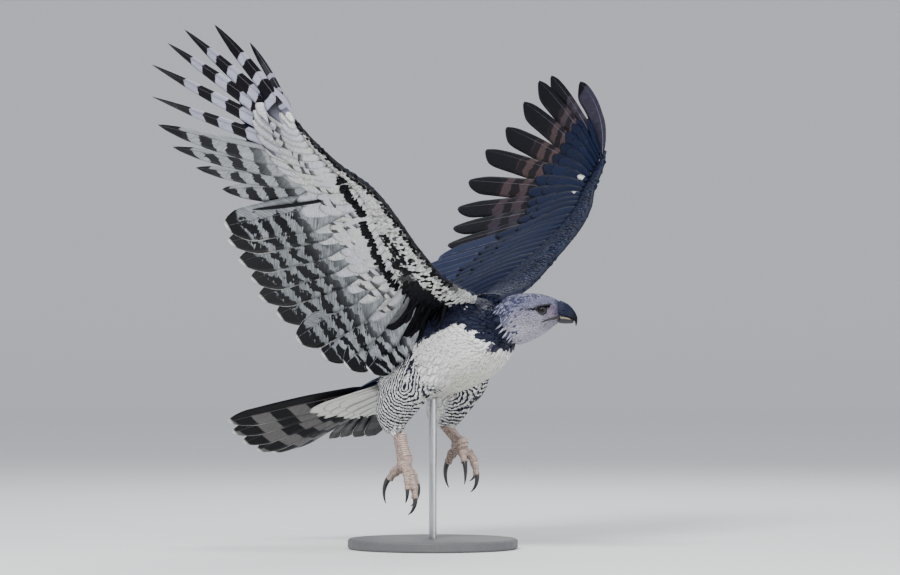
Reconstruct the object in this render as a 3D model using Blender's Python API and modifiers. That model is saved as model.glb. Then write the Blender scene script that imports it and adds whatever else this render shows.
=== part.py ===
"""Harpy eagle in flight: a life-size still model on a plain display stand.

Metres, +Z up. The origin is the centre of the stand's underside. The bird heads towards -Y,
its left wing towards +X. Points of the body are written (forward, left, up) or, on a wing or
leg, (forward, out, up), in the bird's own frame, which the empty "bird" tilts nose up.
"""

from math import cos, pi, radians, sin

import bmesh
import bpy
from mathutils import Matrix, Vector

# Pose of the whole bird over its stand
NOSE_UP = radians(24.4)
RIGHT_SIDE_UP = radians(2.8)
BIRD_PLACE = Vector((0.0, -0.095, 0.530))
HEAD_TURN_LEFT = radians(28.0)
HEAD_PLACE = (0.213, 0.033, -0.061)

GAP = 0.0003
VANE = 0.0010
QUILL_VANE = 0.0014
RING = 16
LEG_RING = 14
TOE_RING = 8
CLAW_RING = 6
LEFT, RIGHT = 1, -1

# Torso: top and bottom of each section (forward, up) and its half width, neck to tail
TORSO = (
    ((0.098, 0.004), (0.104, -0.106), 0.056),
    ((0.070, 0.040), (0.074, -0.128), 0.084),
    ((0.020, 0.060), (0.030, -0.143), 0.100),
    ((-0.040, 0.060), (-0.025, -0.149), 0.103),
    ((-0.100, 0.050), (-0.090, -0.143), 0.097),
    ((-0.160, 0.033), (-0.155, -0.127), 0.085),
    ((-0.210, 0.014), (-0.205, -0.106), 0.069),
    ((-0.250, -0.006), (-0.247, -0.082), 0.053),
)

# Head, from the eye's level in its own upright frame: top and bottom (ahead, up), half width
HEAD = (
    ((-0.112, 0.012), (-0.060, -0.083), 0.050),
    ((-0.085, 0.034), (-0.035, -0.074), 0.052),
    ((-0.050, 0.041), (-0.012, -0.063), 0.049),
    ((-0.018, 0.041), (0.006, -0.052), 0.043),
    ((0.008, 0.036), (0.018, -0.042), 0.033),
    ((0.026, 0.029), (0.028, -0.035), 0.022),
    ((0.038, 0.023), (0.036, -0.031), 0.0155),
)
UPPER_BEAK = (
    ((0.0385, 0.0225), (0.0367, -0.0130), 0.0148),
    ((0.0520, 0.0175), (0.0500, -0.0150), 0.0132),
    ((0.0640, 0.0085), (0.0600, -0.0185), 0.0110),
    ((0.0740, -0.0035), (0.0665, -0.0220), 0.0082),
    ((0.0795, -0.0160), (0.0720, -0.0260), 0.0052),
    ((0.0785, -0.0300), (0.0748, -0.0330), 0.0022),
    ((0.0768, -0.0372), (0.0757, -0.0378), 0.0008),
)
LOWER_BEAK = (
    ((0.0365, -0.0192), (0.0363, -0.0308), 0.0120),
    ((0.0500, -0.0192), (0.0490, -0.0325), 0.0102),
    ((0.0620, -0.0222), (0.0600, -0.0322), 0.0072),
    ((0.0685, -0.0262), (0.0670, -0.0308), 0.0030),
)
NECK_SHARE = 0.93
LID_RADIUS = 0.0096
LID_THICKNESS = 0.0022
LID = (0.002, 0.0375, 0.0)
LID_TURNS = (radians(6), radians(-14))
BROW = (0.003, 0.0350, 0.0115)
BROW_SIZE = (0.0050, 0.0170, 0.0042)
BROW_TURNS = (radians(16), radians(-10))
EYE_RADIUS = 0.0115
EYE_OUT = 0.0310
NOSTRIL = (0.0455, 0.0125, -0.0030)
NOSTRIL_SIZE = (0.0030, 0.0030, 0.0014)
NOSTRIL_TURN = radians(-35)

# The mouth's slit: distance ahead, its upper and lower edge, from the gape to under the cere
MOUTH = (
    (0.004, -0.0247, -0.0253),
    (0.060, -0.0110, -0.0182),
)

# Rows of the hood: where its roots are along the head, reach past its back edge, how many,
# how far round from the crown they go, and their half width
HOOD_ROWS = (
    (0.17, 0.014, 9, radians(126), 0.0125),
    (0.42, 0.022, 4, radians(36), 0.0080),
)
HOOD_DEPTH = 0.0035
HOOD_LIFT = 0.0055
HOOD_TILT = radians(6)

# Wing: leading and trailing edge of the fleshed part (forward, out, up), and its thickness
WING_FLESH = (
    ((0.100, 0.040, 0.022), (-0.080, 0.045, 0.046), 0.052),
    ((0.112, 0.150, 0.056), (-0.066, 0.145, 0.094), 0.040),
    ((0.134, 0.240, 0.116), (0.002, 0.234, 0.150), 0.032),
    ((0.166, 0.330, 0.186), (0.070, 0.320, 0.207), 0.027),
    ((0.174, 0.392, 0.246), (0.110, 0.384, 0.260), 0.023),
    ((0.156, 0.452, 0.304), (0.108, 0.445, 0.316), 0.018),
    ((0.153, 0.518, 0.368), (0.116, 0.511, 0.377), 0.014),
    ((0.150, 0.556, 0.420), (0.130, 0.552, 0.422), 0.009),
)
WRIST = 4
PRIMARY_TIPS = (
    (-0.241, 0.412, 0.433),
    (-0.256, 0.463, 0.492),
    (-0.257, 0.520, 0.542),
    (-0.232, 0.576, 0.583),
    (-0.185, 0.624, 0.629),
    (-0.131, 0.654, 0.682),
    (-0.060, 0.661, 0.701),
    (-0.004, 0.656, 0.708),
    (0.074, 0.642, 0.683),
    (0.111, 0.585, 0.625),
)
SECONDARY_OUTLINE = (
    (-0.294, 0.375, 0.366),
    (-0.330, 0.328, 0.346),
    (-0.371, 0.277, 0.314),
    (-0.403, 0.225, 0.282),
    (-0.417, 0.179, 0.250),
    (-0.419, 0.136, 0.206),
    (-0.402, 0.115, 0.138),
    (-0.357, 0.105, 0.071),
    (-0.299, 0.103, 0.020),
    (-0.235, 0.106, -0.020),
)
SECONDARIES = 12
WRIST_MARGIN = 0.3
FINGERS_FROM = 5

# Share along the vane, then the leading and trailing half widths as shares of the full ones
FINGER_VANE = ((0, 0.4, 0.15), (0.38, 1, 1), (0.50, 1, 0.58), (0.86, 0.85, 0.5), (1, 0.25, 0.15))
BROAD_VANE = ((0, 0.4, 0.15), (0.42, 1, 1), (0.88, 0.9, 0.9), (1, 0.3, 0.3))
COVERT_VANE = ((0, 0.4, 0.4), (0.65, 1, 1), (1, 0.35, 0.35))
EDGE_DROP = 0.04
ROOT_DEPTH = 0.68
FLESH_SECTION = (
    (0.0, 0.0), (0.08, 0.50), (0.30, 1.0), (0.70, 0.70), (1.0, 0.12),
    (1.0, -0.12), (0.70, -0.60), (0.30, -0.85), (0.08, -0.50),
)
REMEX_TILT = radians(8.0)
REMEX_BOW = -0.006
COVERT_TILT = radians(4.0)
COVERT_HALVES = (0.020, 0.032)
UNDER_COVERT_HALVES = (0.022, 0.034)

# Flight feathers: leading and trailing half width, vane, twist to the tip and sweep of the shaft
SECONDARY = ((0.024, 0.044), BROAD_VANE, 0.0, 0.004)
INNER_PRIMARY = ((0.020, 0.040), BROAD_VANE, radians(-8.0), 0.006)
FINGER = ((0.020, 0.044), FINGER_VANE, radians(-27.0), 0.010)
OUTERMOST_FINGER = ((0.020, 0.044), FINGER_VANE, radians(-27.0), 0.014)

# Covert tiers: how many on the arm and the hand, share of the flight feather covered,
# and lift of the tips to the back's side
COVERT_TIERS = (
    (8, 6, 0.44, 0.0125),
    (7, 5, 0.38, -0.0125),
)

# Tail
TAIL_ROOT = (-0.2503, 0.0, -0.044)
TAIL_TURN_LEFT = radians(6.0)
TAIL_HALF_SPREAD = radians(18.0)
TAIL_LENGTH = 0.440
TAIL_FEATHERS = 12
TAIL_RISE_MIDDLE = 0.022
TAIL_RISE_EDGES = 0.040
TAIL_OVERLAP = 0.003
TAIL_TILT = radians(10.0)
TAIL_HALVES = (0.024, 0.034)
TAIL_QUILL = 0.035
TAIL_ROOT_SPREAD = 0.030

# Fleshed root of the tail: distance back, reach up and down, half width
TAIL_FLESH = (
    (0.03, 0.033, 0.034, 0.051),
    (0.08, 0.024, 0.028, 0.046),
    (0.13, 0.008, 0.012, 0.034),
)

# Tail coverts above and below: height and spread of the roots, reach, rise of the tips
TAIL_COVERTS = 4
TAIL_COVERT_HALF = 0.022
TAIL_COVERT_TIERS = (
    (0.018, 0.036, 0.15, -0.004),
    (-0.024, 0.036, 0.23, 0.008),
)

# Legs: front and back of each section (forward, up), distance out and half width
THIGH = {
    RIGHT: (
        ((0.000, -0.095), (-0.150, -0.020), 0.055, 0.040),
        ((-0.075, -0.134), (-0.222, -0.060), 0.076, 0.047),
        ((-0.122, -0.152), (-0.245, -0.095), 0.083, 0.046),
        ((-0.170, -0.170), (-0.257, -0.132), 0.086, 0.037),
        ((-0.194, -0.180), (-0.252, -0.162), 0.088, 0.027),
        ((-0.199, -0.192), (-0.240, -0.186), 0.089, 0.018),
    ),
    LEFT: (
        ((0.010, -0.095), (-0.140, -0.020), 0.055, 0.040),
        ((-0.055, -0.134), (-0.200, -0.062), 0.076, 0.047),
        ((-0.092, -0.150), (-0.230, -0.088), 0.082, 0.044),
        ((-0.135, -0.167), (-0.247, -0.115), 0.083, 0.036),
        ((-0.164, -0.178), (-0.252, -0.138), 0.083, 0.028),
        ((-0.184, -0.186), (-0.238, -0.160), 0.083, 0.019),
    ),
}
TARSUS = {
    RIGHT: (
        ((-0.198, -0.225), (-0.231, -0.225), 0.0895, 0.0140),
        ((-0.197, -0.252), (-0.235, -0.252), 0.0900, 0.0165),
    ),
    LEFT: (
        ((-0.176, -0.206), (-0.212, -0.190), 0.0825, 0.0145),
        ((-0.160, -0.222), (-0.200, -0.214), 0.0820, 0.0165),
    ),
}

# Toes: turn outwards from straight ahead, lengths of the joints, thickness, claw's length
TOES = (
    ("middle", 2, (0.028, 0.028, 0.026), 0.0105, 0.048),
    ("outer", 34, (0.022, 0.019, 0.018), 0.0095, 0.040),
    ("inner", -34, (0.026, 0.024), 0.0115, 0.056),
    ("hind", 176, (0.027, 0.024), 0.0120, 0.064),
)
# How steeply the first joint of the front toes and of the hind toe points down, and each joint's bend
GRASP = {RIGHT: (54, 30, 15), LEFT: (30, 34, 24)}
TOE_START = 0.018
TOE_SET_OUT = 0.004
TOE_TAPER = 0.09
CLAW_CURL = radians(72.0)
CLAW_STEPS = 5
CLAW_ROOT = 0.58
CLAW_TIP = 0.0006

# The pad under the tarsus: depth and swell of each of its sections
PAD = ((0.010, 1.12), (0.024, 0.95), (0.032, 0.55))

# Stand
BASE_RADIUS = 0.20
BASE_THICKNESS = 0.024
BASE_ROUNDING = 0.004
ROD_RADIUS = 0.009


def at(forward, left, up):
    """A point of the bird in its own frame, where forward is -y and left is +x."""
    return Vector((left, -forward, up))


def smooth_curve(values, share):
    """The value at a share, 0 to 1, of a smooth curve through values evenly spaced along it."""
    place = min(max(share, 0.0), 1.0) * (len(values) - 1)
    low = min(int(place), len(values) - 2)
    t = place - low
    before = values[max(low - 1, 0)]
    start, end = values[low], values[low + 1]
    after = values[min(low + 2, len(values) - 1)]
    out_slope, in_slope = (end - before) * 0.5, (after - start) * 0.5
    return (
        start * (2 * t**3 - 3 * t**2 + 1)
        + out_slope * (t**3 - 2 * t**2 + t)
        + end * (3 * t**2 - 2 * t**3)
        + in_slope * (t**3 - t**2)
    )


def mirrored(point, side):
    """A point (forward, out, up) on the left or the right side."""
    forward, out, up = point
    return at(forward, side * out, up)


def shares(count):
    return [k / (count - 1) for k in range(count)]


def new_material(name, colour, roughness, metallic=0.0):
    material = bpy.data.materials.new(name)
    material.use_nodes = True
    shader = material.node_tree.nodes["Principled BSDF"]
    shader.inputs["Base Color"].default_value = (*colour, 1.0)
    shader.inputs["Roughness"].default_value = roughness
    shader.inputs["Metallic"].default_value = metallic
    return material


def new_collection(name):
    collection = bpy.data.collections.new(name)
    bpy.context.scene.collection.children.link(collection)
    return collection


def new_object(name, bm, collection, parent=None, material=None):
    mesh = bpy.data.meshes.new(name)
    bm.to_mesh(mesh)
    bm.free()
    obj = bpy.data.objects.new(name, mesh)
    collection.objects.link(obj)
    obj.parent = parent
    if material:
        mesh.materials.append(material)
        mesh.shade_smooth()
        mesh.set_sharp_from_angle(angle=radians(40))
    return obj


def loft(rings):
    """A closed skin over rings of equal counts, with flat ends."""
    bm = bmesh.new()
    rows = [[bm.verts.new(point) for point in ring] for ring in rings]
    for low, high in zip(rows, rows[1:]):
        for k in range(len(low)):
            bm.faces.new((low[k - 1], low[k], high[k], high[k - 1]))
    bm.faces.new(rows[0])
    bm.faces.new(rows[-1])
    bmesh.ops.recalc_face_normals(bm, faces=bm.faces)
    return bm


def oval(top, bottom, half_width, side=Vector((1, 0, 0)), count=RING, fullness=0.9):
    """An oval between top and bottom, a little fuller than an ellipse."""
    middle, half = (top + bottom) / 2, (top - bottom) / 2
    ring = []
    for k in range(count):
        turn = 2 * pi * k / count
        rise = abs(cos(turn)) ** fullness * (1 if cos(turn) >= 0 else -1)
        out = abs(sin(turn)) ** fullness * (1 if sin(turn) >= 0 else -1)
        ring.append(middle + half * rise + side * half_width * out)
    return ring


def ring_middle(ring):
    return sum(ring, Vector()) / len(ring)


def body_rings(sections, steps, count=RING):
    """Smooth ovals through sections of the body's middle plane."""
    tops = [at(top[0], 0, top[1]) for top, _, _ in sections]
    bottoms = [at(bottom[0], 0, bottom[1]) for _, bottom, _ in sections]
    widths = [width for _, _, width in sections]
    rings = []
    for share in shares(steps):
        top, bottom = smooth_curve(tops, share), smooth_curve(bottoms, share)
        rings.append(oval(top, bottom, smooth_curve(widths, share), count=count))
    return rings


def swelled(bm, amount):
    """The same closed shape with every corner moved outwards."""
    bm.normal_update()
    moves = [(v, v.normal.copy()) for v in bm.verts]
    for vert, normal in moves:
        vert.co += normal * amount
    return bm


def shape_of(obj):
    """The mesh that an object shows with its modifiers."""
    seen = obj.evaluated_get(bpy.context.evaluated_depsgraph_get())
    return bpy.data.meshes.new_from_object(seen)


def keep_largest(mesh):
    """Drops every closed surface of a mesh but the one that holds the most."""
    bm = bmesh.new()
    bm.from_mesh(mesh)
    bmesh.ops.remove_doubles(bm, verts=bm.verts, dist=1e-6)
    unseen = set(bm.faces)
    surfaces = []
    while unseen:
        edge_of_search = [unseen.pop()]
        surface = list(edge_of_search)
        while edge_of_search:
            face = edge_of_search.pop()
            beside = {f for e in face.edges for f in e.link_faces if f in unseen}
            unseen -= beside
            edge_of_search.extend(beside)
            surface.extend(beside)
        surfaces.append(surface)
    surfaces.sort(key=held_volume, reverse=True)
    for surface in surfaces[1:]:
        bmesh.ops.delete(bm, geom=surface, context="FACES")
    bm.to_mesh(mesh)
    bm.free()


def held_volume(faces):
    total = 0.0
    for face in faces:
        first = face.verts[0].co
        for a, b in zip(face.verts[1:], face.verts[2:]):
            total += first.dot(a.co.cross(b.co)) / 6
    return total


def take_shape(obj):
    """Applies an object's modifiers and keeps its largest closed surface."""
    material = obj.data.materials[0] if obj.data.materials else None
    mesh = shape_of(obj)
    obj.modifiers.clear()
    keep_largest(mesh)
    if material and not mesh.materials:
        mesh.materials.append(material)
    old = obj.data
    obj.data = mesh
    bpy.data.meshes.remove(old)


def add_boolean(obj, operation, other, solver="EXACT"):
    modifier = obj.modifiers.new(operation.lower(), "BOOLEAN")
    modifier.operation = operation
    modifier.solver = solver
    if isinstance(other, bpy.types.Collection):
        modifier.operand_type = "COLLECTION"
        modifier.collection = other
    else:
        modifier.object = other


def fuse(obj, pieces):
    """Joins closed pieces into an object, in one union, and removes them."""
    growths = new_collection(obj.name + "_growths")
    for piece in pieces:
        new_object(obj.name + "_growth", piece, growths, parent=obj.parent)
    bpy.context.view_layer.update()
    add_boolean(obj, "UNION", growths)
    take_shape(obj)
    for piece in list(growths.objects):
        bpy.data.objects.remove(piece)
    bpy.data.collections.remove(growths)


def cutter(name, bm, parent):
    obj = new_object(name, bm, CUTTERS, parent=parent)
    obj.hide_render = True
    obj.display_type = "WIRE"
    return obj


def vane(root, tip, normal, leading, half_widths, profile, tilt, twist=0.0, bow=0.0, sweep=0.0, thick=VANE):
    """A feather's blade: a thin closed sheet that bows along its shaft and drops to both edges."""
    length = (tip - root).length
    along = (tip - root).normalized()
    across = (leading - along * leading.dot(along)).normalized()
    normal = (normal - along * normal.dot(along) - across * normal.dot(across)).normalized()
    bm = bmesh.new()
    rows = len(profile)
    bmesh.ops.create_grid(bm, x_segments=2, y_segments=rows - 1, size=1.0)
    for vert in bm.verts:
        share, lead, trail = profile[round((vert.co.y + 1) / 2 * (rows - 1))]
        curve = 4 * share * (1 - share)
        turn = tilt + twist * share**3
        tilted = across * cos(turn) + normal * sin(turn)
        upright = normal * cos(turn) - across * sin(turn)
        shaft = root + along * (share * length) + normal * (bow * curve) + across * (sweep * curve)
        side = round(vert.co.x)
        reach = half_widths[0] * lead if side > 0 else half_widths[1] * trail
        vert.co = shaft + tilted * (side * reach) - upright * (abs(side) * reach * EDGE_DROP)
    bmesh.ops.triangulate(bm, faces=bm.faces)
    bmesh.ops.solidify(bm, geom=bm.faces[:], thickness=thick)
    bmesh.ops.recalc_face_normals(bm, faces=bm.faces)
    return bm


def laid_out(roots, tips, upwards):
    """Each feather of a fan as its root, tip, the fan's normal there and the way to the next one."""
    middles = [root.lerp(tip, 0.6) for root, tip in zip(roots, tips)]
    last = len(middles) - 1
    feathers = []
    for k, (root, tip) in enumerate(zip(roots, tips)):
        outward = middles[min(k + 1, last)] - middles[max(k - 1, 0)]
        normal = (tip - root).cross(outward).normalized()
        feathers.append((root, tip, normal if normal.dot(upwards) > 0 else -normal, outward))
    return feathers


class Wing:
    """The run of flight feathers of one wing, from the innermost secondary to the outermost primary."""

    def __init__(self, side):
        self.side = side
        self.fronts = [mirrored(front, side) for front, _, _ in WING_FLESH]
        self.backs = [mirrored(back, side) for _, back, _ in WING_FLESH]
        self.thicks = [thick for _, _, thick in WING_FLESH]
        outline = [mirrored(point, side) for point in SECONDARY_OUTLINE]
        tips = [smooth_curve(outline, share) for share in shares(SECONDARIES)][::-1]
        wrist = WRIST / (len(WING_FLESH) - 1)
        roots = [self.seat(wrist * (0.10 + 0.84 * share)) for share in shares(SECONDARIES)]
        tips += [mirrored(point, side) for point in PRIMARY_TIPS]
        hand_seats = [0.07 + 0.86 * share for share in shares(len(PRIMARY_TIPS))]
        roots += [self.seat(wrist + (1 - wrist) * share) for share in hand_seats]
        self.feathers = laid_out(roots, tips, at(0.15, -0.7 * side, 0.65))

    def between(self, place):
        """A feather's root, tip, normal and outward side at a place between two feathers."""
        low = min(int(place), len(self.feathers) - 2)
        share = place - low
        return [a.lerp(b, share) for a, b in zip(self.feathers[low], self.feathers[low + 1])]

    def seat(self, share):
        """Where a feather is rooted, two thirds back in the flesh."""
        return smooth_curve(self.fronts, share).lerp(smooth_curve(self.backs, share), ROOT_DEPTH)

    def flesh(self):
        """Rings of the fleshed part, blunt in front and thin behind, and the way out of the wrist."""
        rings = []
        steps = 2 * (len(WING_FLESH) - 1) + 1
        for k, share in enumerate(shares(steps)):
            front, back = smooth_curve(self.fronts, share), smooth_curve(self.backs, share)
            ahead, behind = min(share + 0.05, 1), max(share - 0.05, 0)
            span = smooth_curve(self.fronts, ahead) - smooth_curve(self.fronts, behind)
            chord = back - front
            normal = chord.cross(span).normalized() * -self.side
            half = smooth_curve(self.thicks, share) / 2
            section = [chord * place + normal * (half * height) for place, height in FLESH_SECTION]
            rings.append([front + point for point in section])
            if k == 2 * WRIST:
                outward = normal.cross(chord).normalized()
                outward *= 1 if outward.dot(span) > 0 else -1
        return rings[: 2 * WRIST + 1], rings[2 * WRIST :], outward


def remiges(wing, first, last):
    """The flight feathers first to last of a wing."""
    vanes = []
    for k in range(first, last):
        root, tip, normal, outward = wing.feathers[k]
        if k < SECONDARIES:
            halves, profile, twist, sweep = SECONDARY
        elif k < SECONDARIES + FINGERS_FROM:
            halves, profile, twist, sweep = INNER_PRIMARY
        elif k < len(wing.feathers) - 1:
            halves, profile, twist, sweep = FINGER
        else:
            halves, profile, twist, sweep = OUTERMOST_FINGER
        shape = (halves, profile, REMEX_TILT, twist, REMEX_BOW, sweep, QUILL_VANE)
        vanes.append(vane(root, tip, normal, outward, *shape))
    return vanes


def coverts(wing, first, last, count, reach, lift):
    """One tier of coverts over or under the flight feathers first to last."""
    vanes = []
    for share in shares(count):
        root, tip, normal, outward = wing.between(first + share * (last - first))
        start = root + normal * (lift * 0.2)
        end = root.lerp(tip, reach) + normal * lift
        halves = COVERT_HALVES if lift > 0 else UNDER_COVERT_HALVES
        vanes.append(vane(start, end, normal, outward, halves, COVERT_VANE, COVERT_TILT))
    return vanes


def make_wing(side, name, bird, torso_cut, dark):
    wing = Wing(side)
    arm_rings, hand_rings, outward = wing.flesh()
    hand_rings[0] = [point + outward * GAP for point in hand_rings[0]]
    arm = new_object("wing_arm_" + name, loft(arm_rings), PARTS, bird, dark)
    hand = new_object("wing_hand_" + name, loft(hand_rings), PARTS, bird, dark)
    last = len(wing.feathers) - 1
    arm_vanes = remiges(wing, 0, SECONDARIES)
    hand_vanes = remiges(wing, SECONDARIES, last + 1)
    for on_arm, on_hand, reach, lift in COVERT_TIERS:
        arm_vanes += coverts(wing, 0, SECONDARIES - 1 - WRIST_MARGIN, on_arm, reach, lift)
        hand_vanes += coverts(wing, SECONDARIES + WRIST_MARGIN, last, on_hand, reach, lift)
    fuse(arm, arm_vanes)
    fuse(hand, hand_vanes)
    innermost_primary = remiges(wing, SECONDARIES, SECONDARIES + 1)[0]
    primary_cut = cutter("primary_clearance_" + name, swelled(innermost_primary, GAP * 1.5), bird)
    add_boolean(arm, "DIFFERENCE", primary_cut)
    take_shape(arm)
    add_boolean(arm, "DIFFERENCE", torso_cut)
    take_shape(arm)


def make_torso(bird, material):
    rings = body_rings(TORSO, 13)
    new_object("torso", loft(rings), PARTS, bird, material)
    return cutter("torso_clearance", swelled(loft(rings), GAP * 1.15), bird), rings


def back_of_head(head, bird):
    """The head's first ring in the bird's frame."""
    top, bottom, width = HEAD[0]
    ring = oval(at(top[0], 0, top[1]), at(bottom[0], 0, bottom[1]), width)
    place = bird.matrix_world.inverted() @ head.matrix_world
    return [place @ point for point in ring]


def make_neck(bird, head, torso_rings, material):
    base = [point + at(GAP, 0, 0) for point in torso_rings[0]]
    end = back_of_head(head, bird)
    middle = ring_middle(end)
    away = (middle - ring_middle(base)).normalized()
    end = [middle + (point - middle) * NECK_SHARE - away * GAP for point in end]
    rings = [[a.lerp(b, share) for a, b in zip(base, end)] for share in shares(4)]
    new_object("neck", loft(rings), PARTS, bird, material)
    return cutter("neck_clearance", swelled(loft(rings), GAP * 1.15), bird)


def torus(centre, radius, thickness, axis_turn):
    bpy.ops.mesh.primitive_torus_add(
        major_segments=12, minor_segments=5, major_radius=radius, minor_radius=thickness, rotation=axis_turn
    )
    made = bpy.context.object
    bm = bmesh.new()
    bm.from_mesh(made.data)
    bmesh.ops.transform(bm, matrix=Matrix.Translation(centre) @ made.matrix_world, verts=bm.verts)
    bpy.data.objects.remove(made)
    return bm


def ball(centre, sizes, turn=Matrix.Identity(4), segments=(12, 8)):
    bm = bmesh.new()
    bmesh.ops.create_uvsphere(bm, u_segments=segments[0], v_segments=segments[1], radius=1.0)
    place = Matrix.Translation(centre) @ turn @ Matrix.Diagonal((*sizes, 1.0))
    bmesh.ops.transform(bm, matrix=place, verts=bm.verts)
    return bm


def hood_vanes():
    """The crest and the hood of feathers that hangs from the back of the head over the neck."""
    vanes = []
    tops = [at(top[0], 0, top[1]) for top, _, _ in HEAD]
    bottoms = [at(bottom[0], 0, bottom[1]) for _, bottom, _ in HEAD]
    widths = [width for _, _, width in HEAD]

    def skin(share, turn):
        top, bottom = smooth_curve(tops, share), smooth_curve(bottoms, share)
        middle, half = (top + bottom) / 2, (top - bottom) / 2
        return middle + half * cos(turn) + Vector((smooth_curve(widths, share) * sin(turn), 0, 0)), middle

    for start, reach, count, widest, half in HOOD_ROWS:
        for place in shares(count):
            turn = widest * (2 * place - 1)
            root, middle = skin(start, turn)
            edge, _ = skin(0.0, turn)
            out = (edge - middle).normalized()
            back = (edge - root).normalized()
            across = out.cross(back)
            seated = root - (root - middle).normalized() * HOOD_DEPTH
            end = edge + back * reach + out * HOOD_LIFT
            vanes.append(vane(seated, end, out, across, (half, half), COVERT_VANE, HOOD_TILT))
    return vanes


def make_head(head, neck_cut, grey, horn, eye_glass):
    skull = new_object("head", loft(body_rings(HEAD, 11)), PARTS, head, grey)
    upper = new_object("beak_upper", loft(body_rings(UPPER_BEAK, 11, 12)), PARTS, head, horn)
    new_object("beak_lower", loft(body_rings(LOWER_BEAK, 6, 12)), PARTS, head, horn)
    growths = hood_vanes()
    cuts = [neck_cut]
    for side, name in ((LEFT, "left"), (RIGHT, "right")):
        centre = at(0, side * EYE_OUT, 0)
        new_object("eye_" + name, ball(centre, (EYE_RADIUS,) * 3, segments=(12, 7)), PARTS, head, eye_glass)
        lid_turn = (0, pi / 2 + side * LID_TURNS[0], side * LID_TURNS[1])
        growths.append(torus(mirrored(LID, side), LID_RADIUS, LID_THICKNESS, lid_turn))
        brow_turn = Matrix.Rotation(side * BROW_TURNS[0], 4, "Z") @ Matrix.Rotation(BROW_TURNS[1], 4, "X")
        growths.append(ball(mirrored(BROW, side), BROW_SIZE, brow_turn, (8, 5)))
        socket = ball(centre, (EYE_RADIUS + GAP * 1.6,) * 3, segments=(12, 7))
        cuts.append(cutter("socket_" + name, socket, head))
        hole = ball(mirrored(NOSTRIL, side), NOSTRIL_SIZE, Matrix.Rotation(NOSTRIL_TURN, 4, "X"), (8, 6))
        add_boolean(upper, "DIFFERENCE", cutter("nostril_" + name, hole, head))
    take_shape(upper)
    slit = []
    for forward, high, low in MOUTH:
        corners = (-0.06, low), (0.06, low), (0.06, high), (-0.06, high)
        slit.append([at(forward, x, z) for x, z in corners])
    cuts.append(cutter("mouth_line", loft(slit), head))
    fuse(skull, growths)
    for cut in cuts:
        add_boolean(skull, "DIFFERENCE", cut, "MANIFOLD")
        take_shape(skull)


def make_tail(bird, dark):
    root = at(*TAIL_ROOT)
    top, bottom, width = TORSO[-1]
    base = oval(at(top[0], 0, top[1]), at(bottom[0], 0, bottom[1]), width)
    rings = [[point - at(GAP, 0, 0) for point in base]]
    turn = Matrix.Rotation(-TAIL_TURN_LEFT, 4, "Z")
    for distance, high, low, wide in TAIL_FLESH:
        middle = root + turn @ at(-distance, 0, 0)
        rings.append(oval(middle + at(0, 0, high), middle - at(0, 0, low), wide, turn @ Vector((1, 0, 0))))
    tail = new_object("tail", loft(rings), PARTS, bird, dark)
    roots, tips = [], []
    for share in shares(TAIL_FEATHERS):
        place = 2 * share - 1
        away = Matrix.Rotation(-TAIL_TURN_LEFT - TAIL_HALF_SPREAD * place, 4, "Z") @ at(-1, 0, 0)
        roots.append(root + away * TAIL_QUILL + Vector((TAIL_ROOT_SPREAD * place, 0, 0)))
        rise = TAIL_RISE_MIDDLE + TAIL_RISE_EDGES * place**2
        tips.append(roots[-1] + away * (TAIL_LENGTH - TAIL_QUILL) + Vector((0, 0, rise)))
    vanes = []
    for k, (start, end, normal, leftward) in enumerate(laid_out(roots, tips, Vector((0, 0, 1)))):
        on_left = k >= TAIL_FEATHERS // 2
        lift = normal * (TAIL_OVERLAP if on_left else 0.0)
        outward = leftward if on_left else -leftward
        vanes.append(vane(start + lift, end + lift, normal, outward, TAIL_HALVES, BROAD_VANE, TAIL_TILT))
    up, left, halves = Vector((0, 0, 1)), Vector((1, 0, 0)), (TAIL_COVERT_HALF, TAIL_COVERT_HALF)
    for height, spread, reach, rise in TAIL_COVERT_TIERS:
        for share in shares(TAIL_COVERTS):
            place = 2 * share - 1
            away = Matrix.Rotation(-TAIL_TURN_LEFT - 0.5 * TAIL_HALF_SPREAD * place, 4, "Z") @ at(-1, 0, 0)
            start = root + away * TAIL_QUILL + Vector((spread * place, 0, height))
            end = start + away * reach + Vector((0, 0, rise))
            vanes.append(vane(start, end, up, left, halves, COVERT_VANE, REMEX_TILT))
    fuse(tail, vanes)


def leg_rings(sections, side, steps):
    fronts = [at(front[0], side * out, front[1]) for front, _, out, _ in sections]
    backs = [at(back[0], side * out, back[1]) for _, back, out, _ in sections]
    widths = [width for _, _, _, width in sections]
    rings = []
    for share in shares(steps):
        front, back = smooth_curve(fronts, share), smooth_curve(backs, share)
        rings.append(oval(front, back, smooth_curve(widths, share), count=LEG_RING))
    return rings


def gap_beyond(rings):
    """The last of some flat rings, moved a gap's width squarely off its plane, away from the one before."""
    ring = rings[-1]
    normal = (ring[0] - ring[len(ring) // 2]).cross(ring[len(ring) // 4] - ring[0]).normalized()
    if normal.dot(ring_middle(ring) - ring_middle(rings[-2])) < 0:
        normal = -normal
    return [point + normal * GAP for point in ring]


def circle(centre, across, up, radius, count):
    turns = [2 * pi * (k + 0.5) / count for k in range(count)]
    return [centre + (across * cos(turn) + up * sin(turn)) * radius for turn in turns]


def tube_rings(points, radii, side_way, count):
    """Rings square to a path, for a tapering toe or claw."""
    rings = []
    for k, (point, radius) in enumerate(zip(points, radii)):
        along = (points[min(k + 1, len(points) - 1)] - points[max(k - 1, 0)]).normalized()
        across = (side_way - along * side_way.dot(along)).normalized()
        rings.append(circle(point, across, along.cross(across), radius, count))
    return rings


def toe_walk(start, heading, down, pitches, lengths):
    """Points reached by steps of given lengths, each at its own angle below the horizontal."""
    points = [start]
    for pitch, length in zip(pitches, lengths):
        points.append(points[-1] + (heading * cos(pitch) + down * sin(pitch)) * length)
    return points


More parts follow.
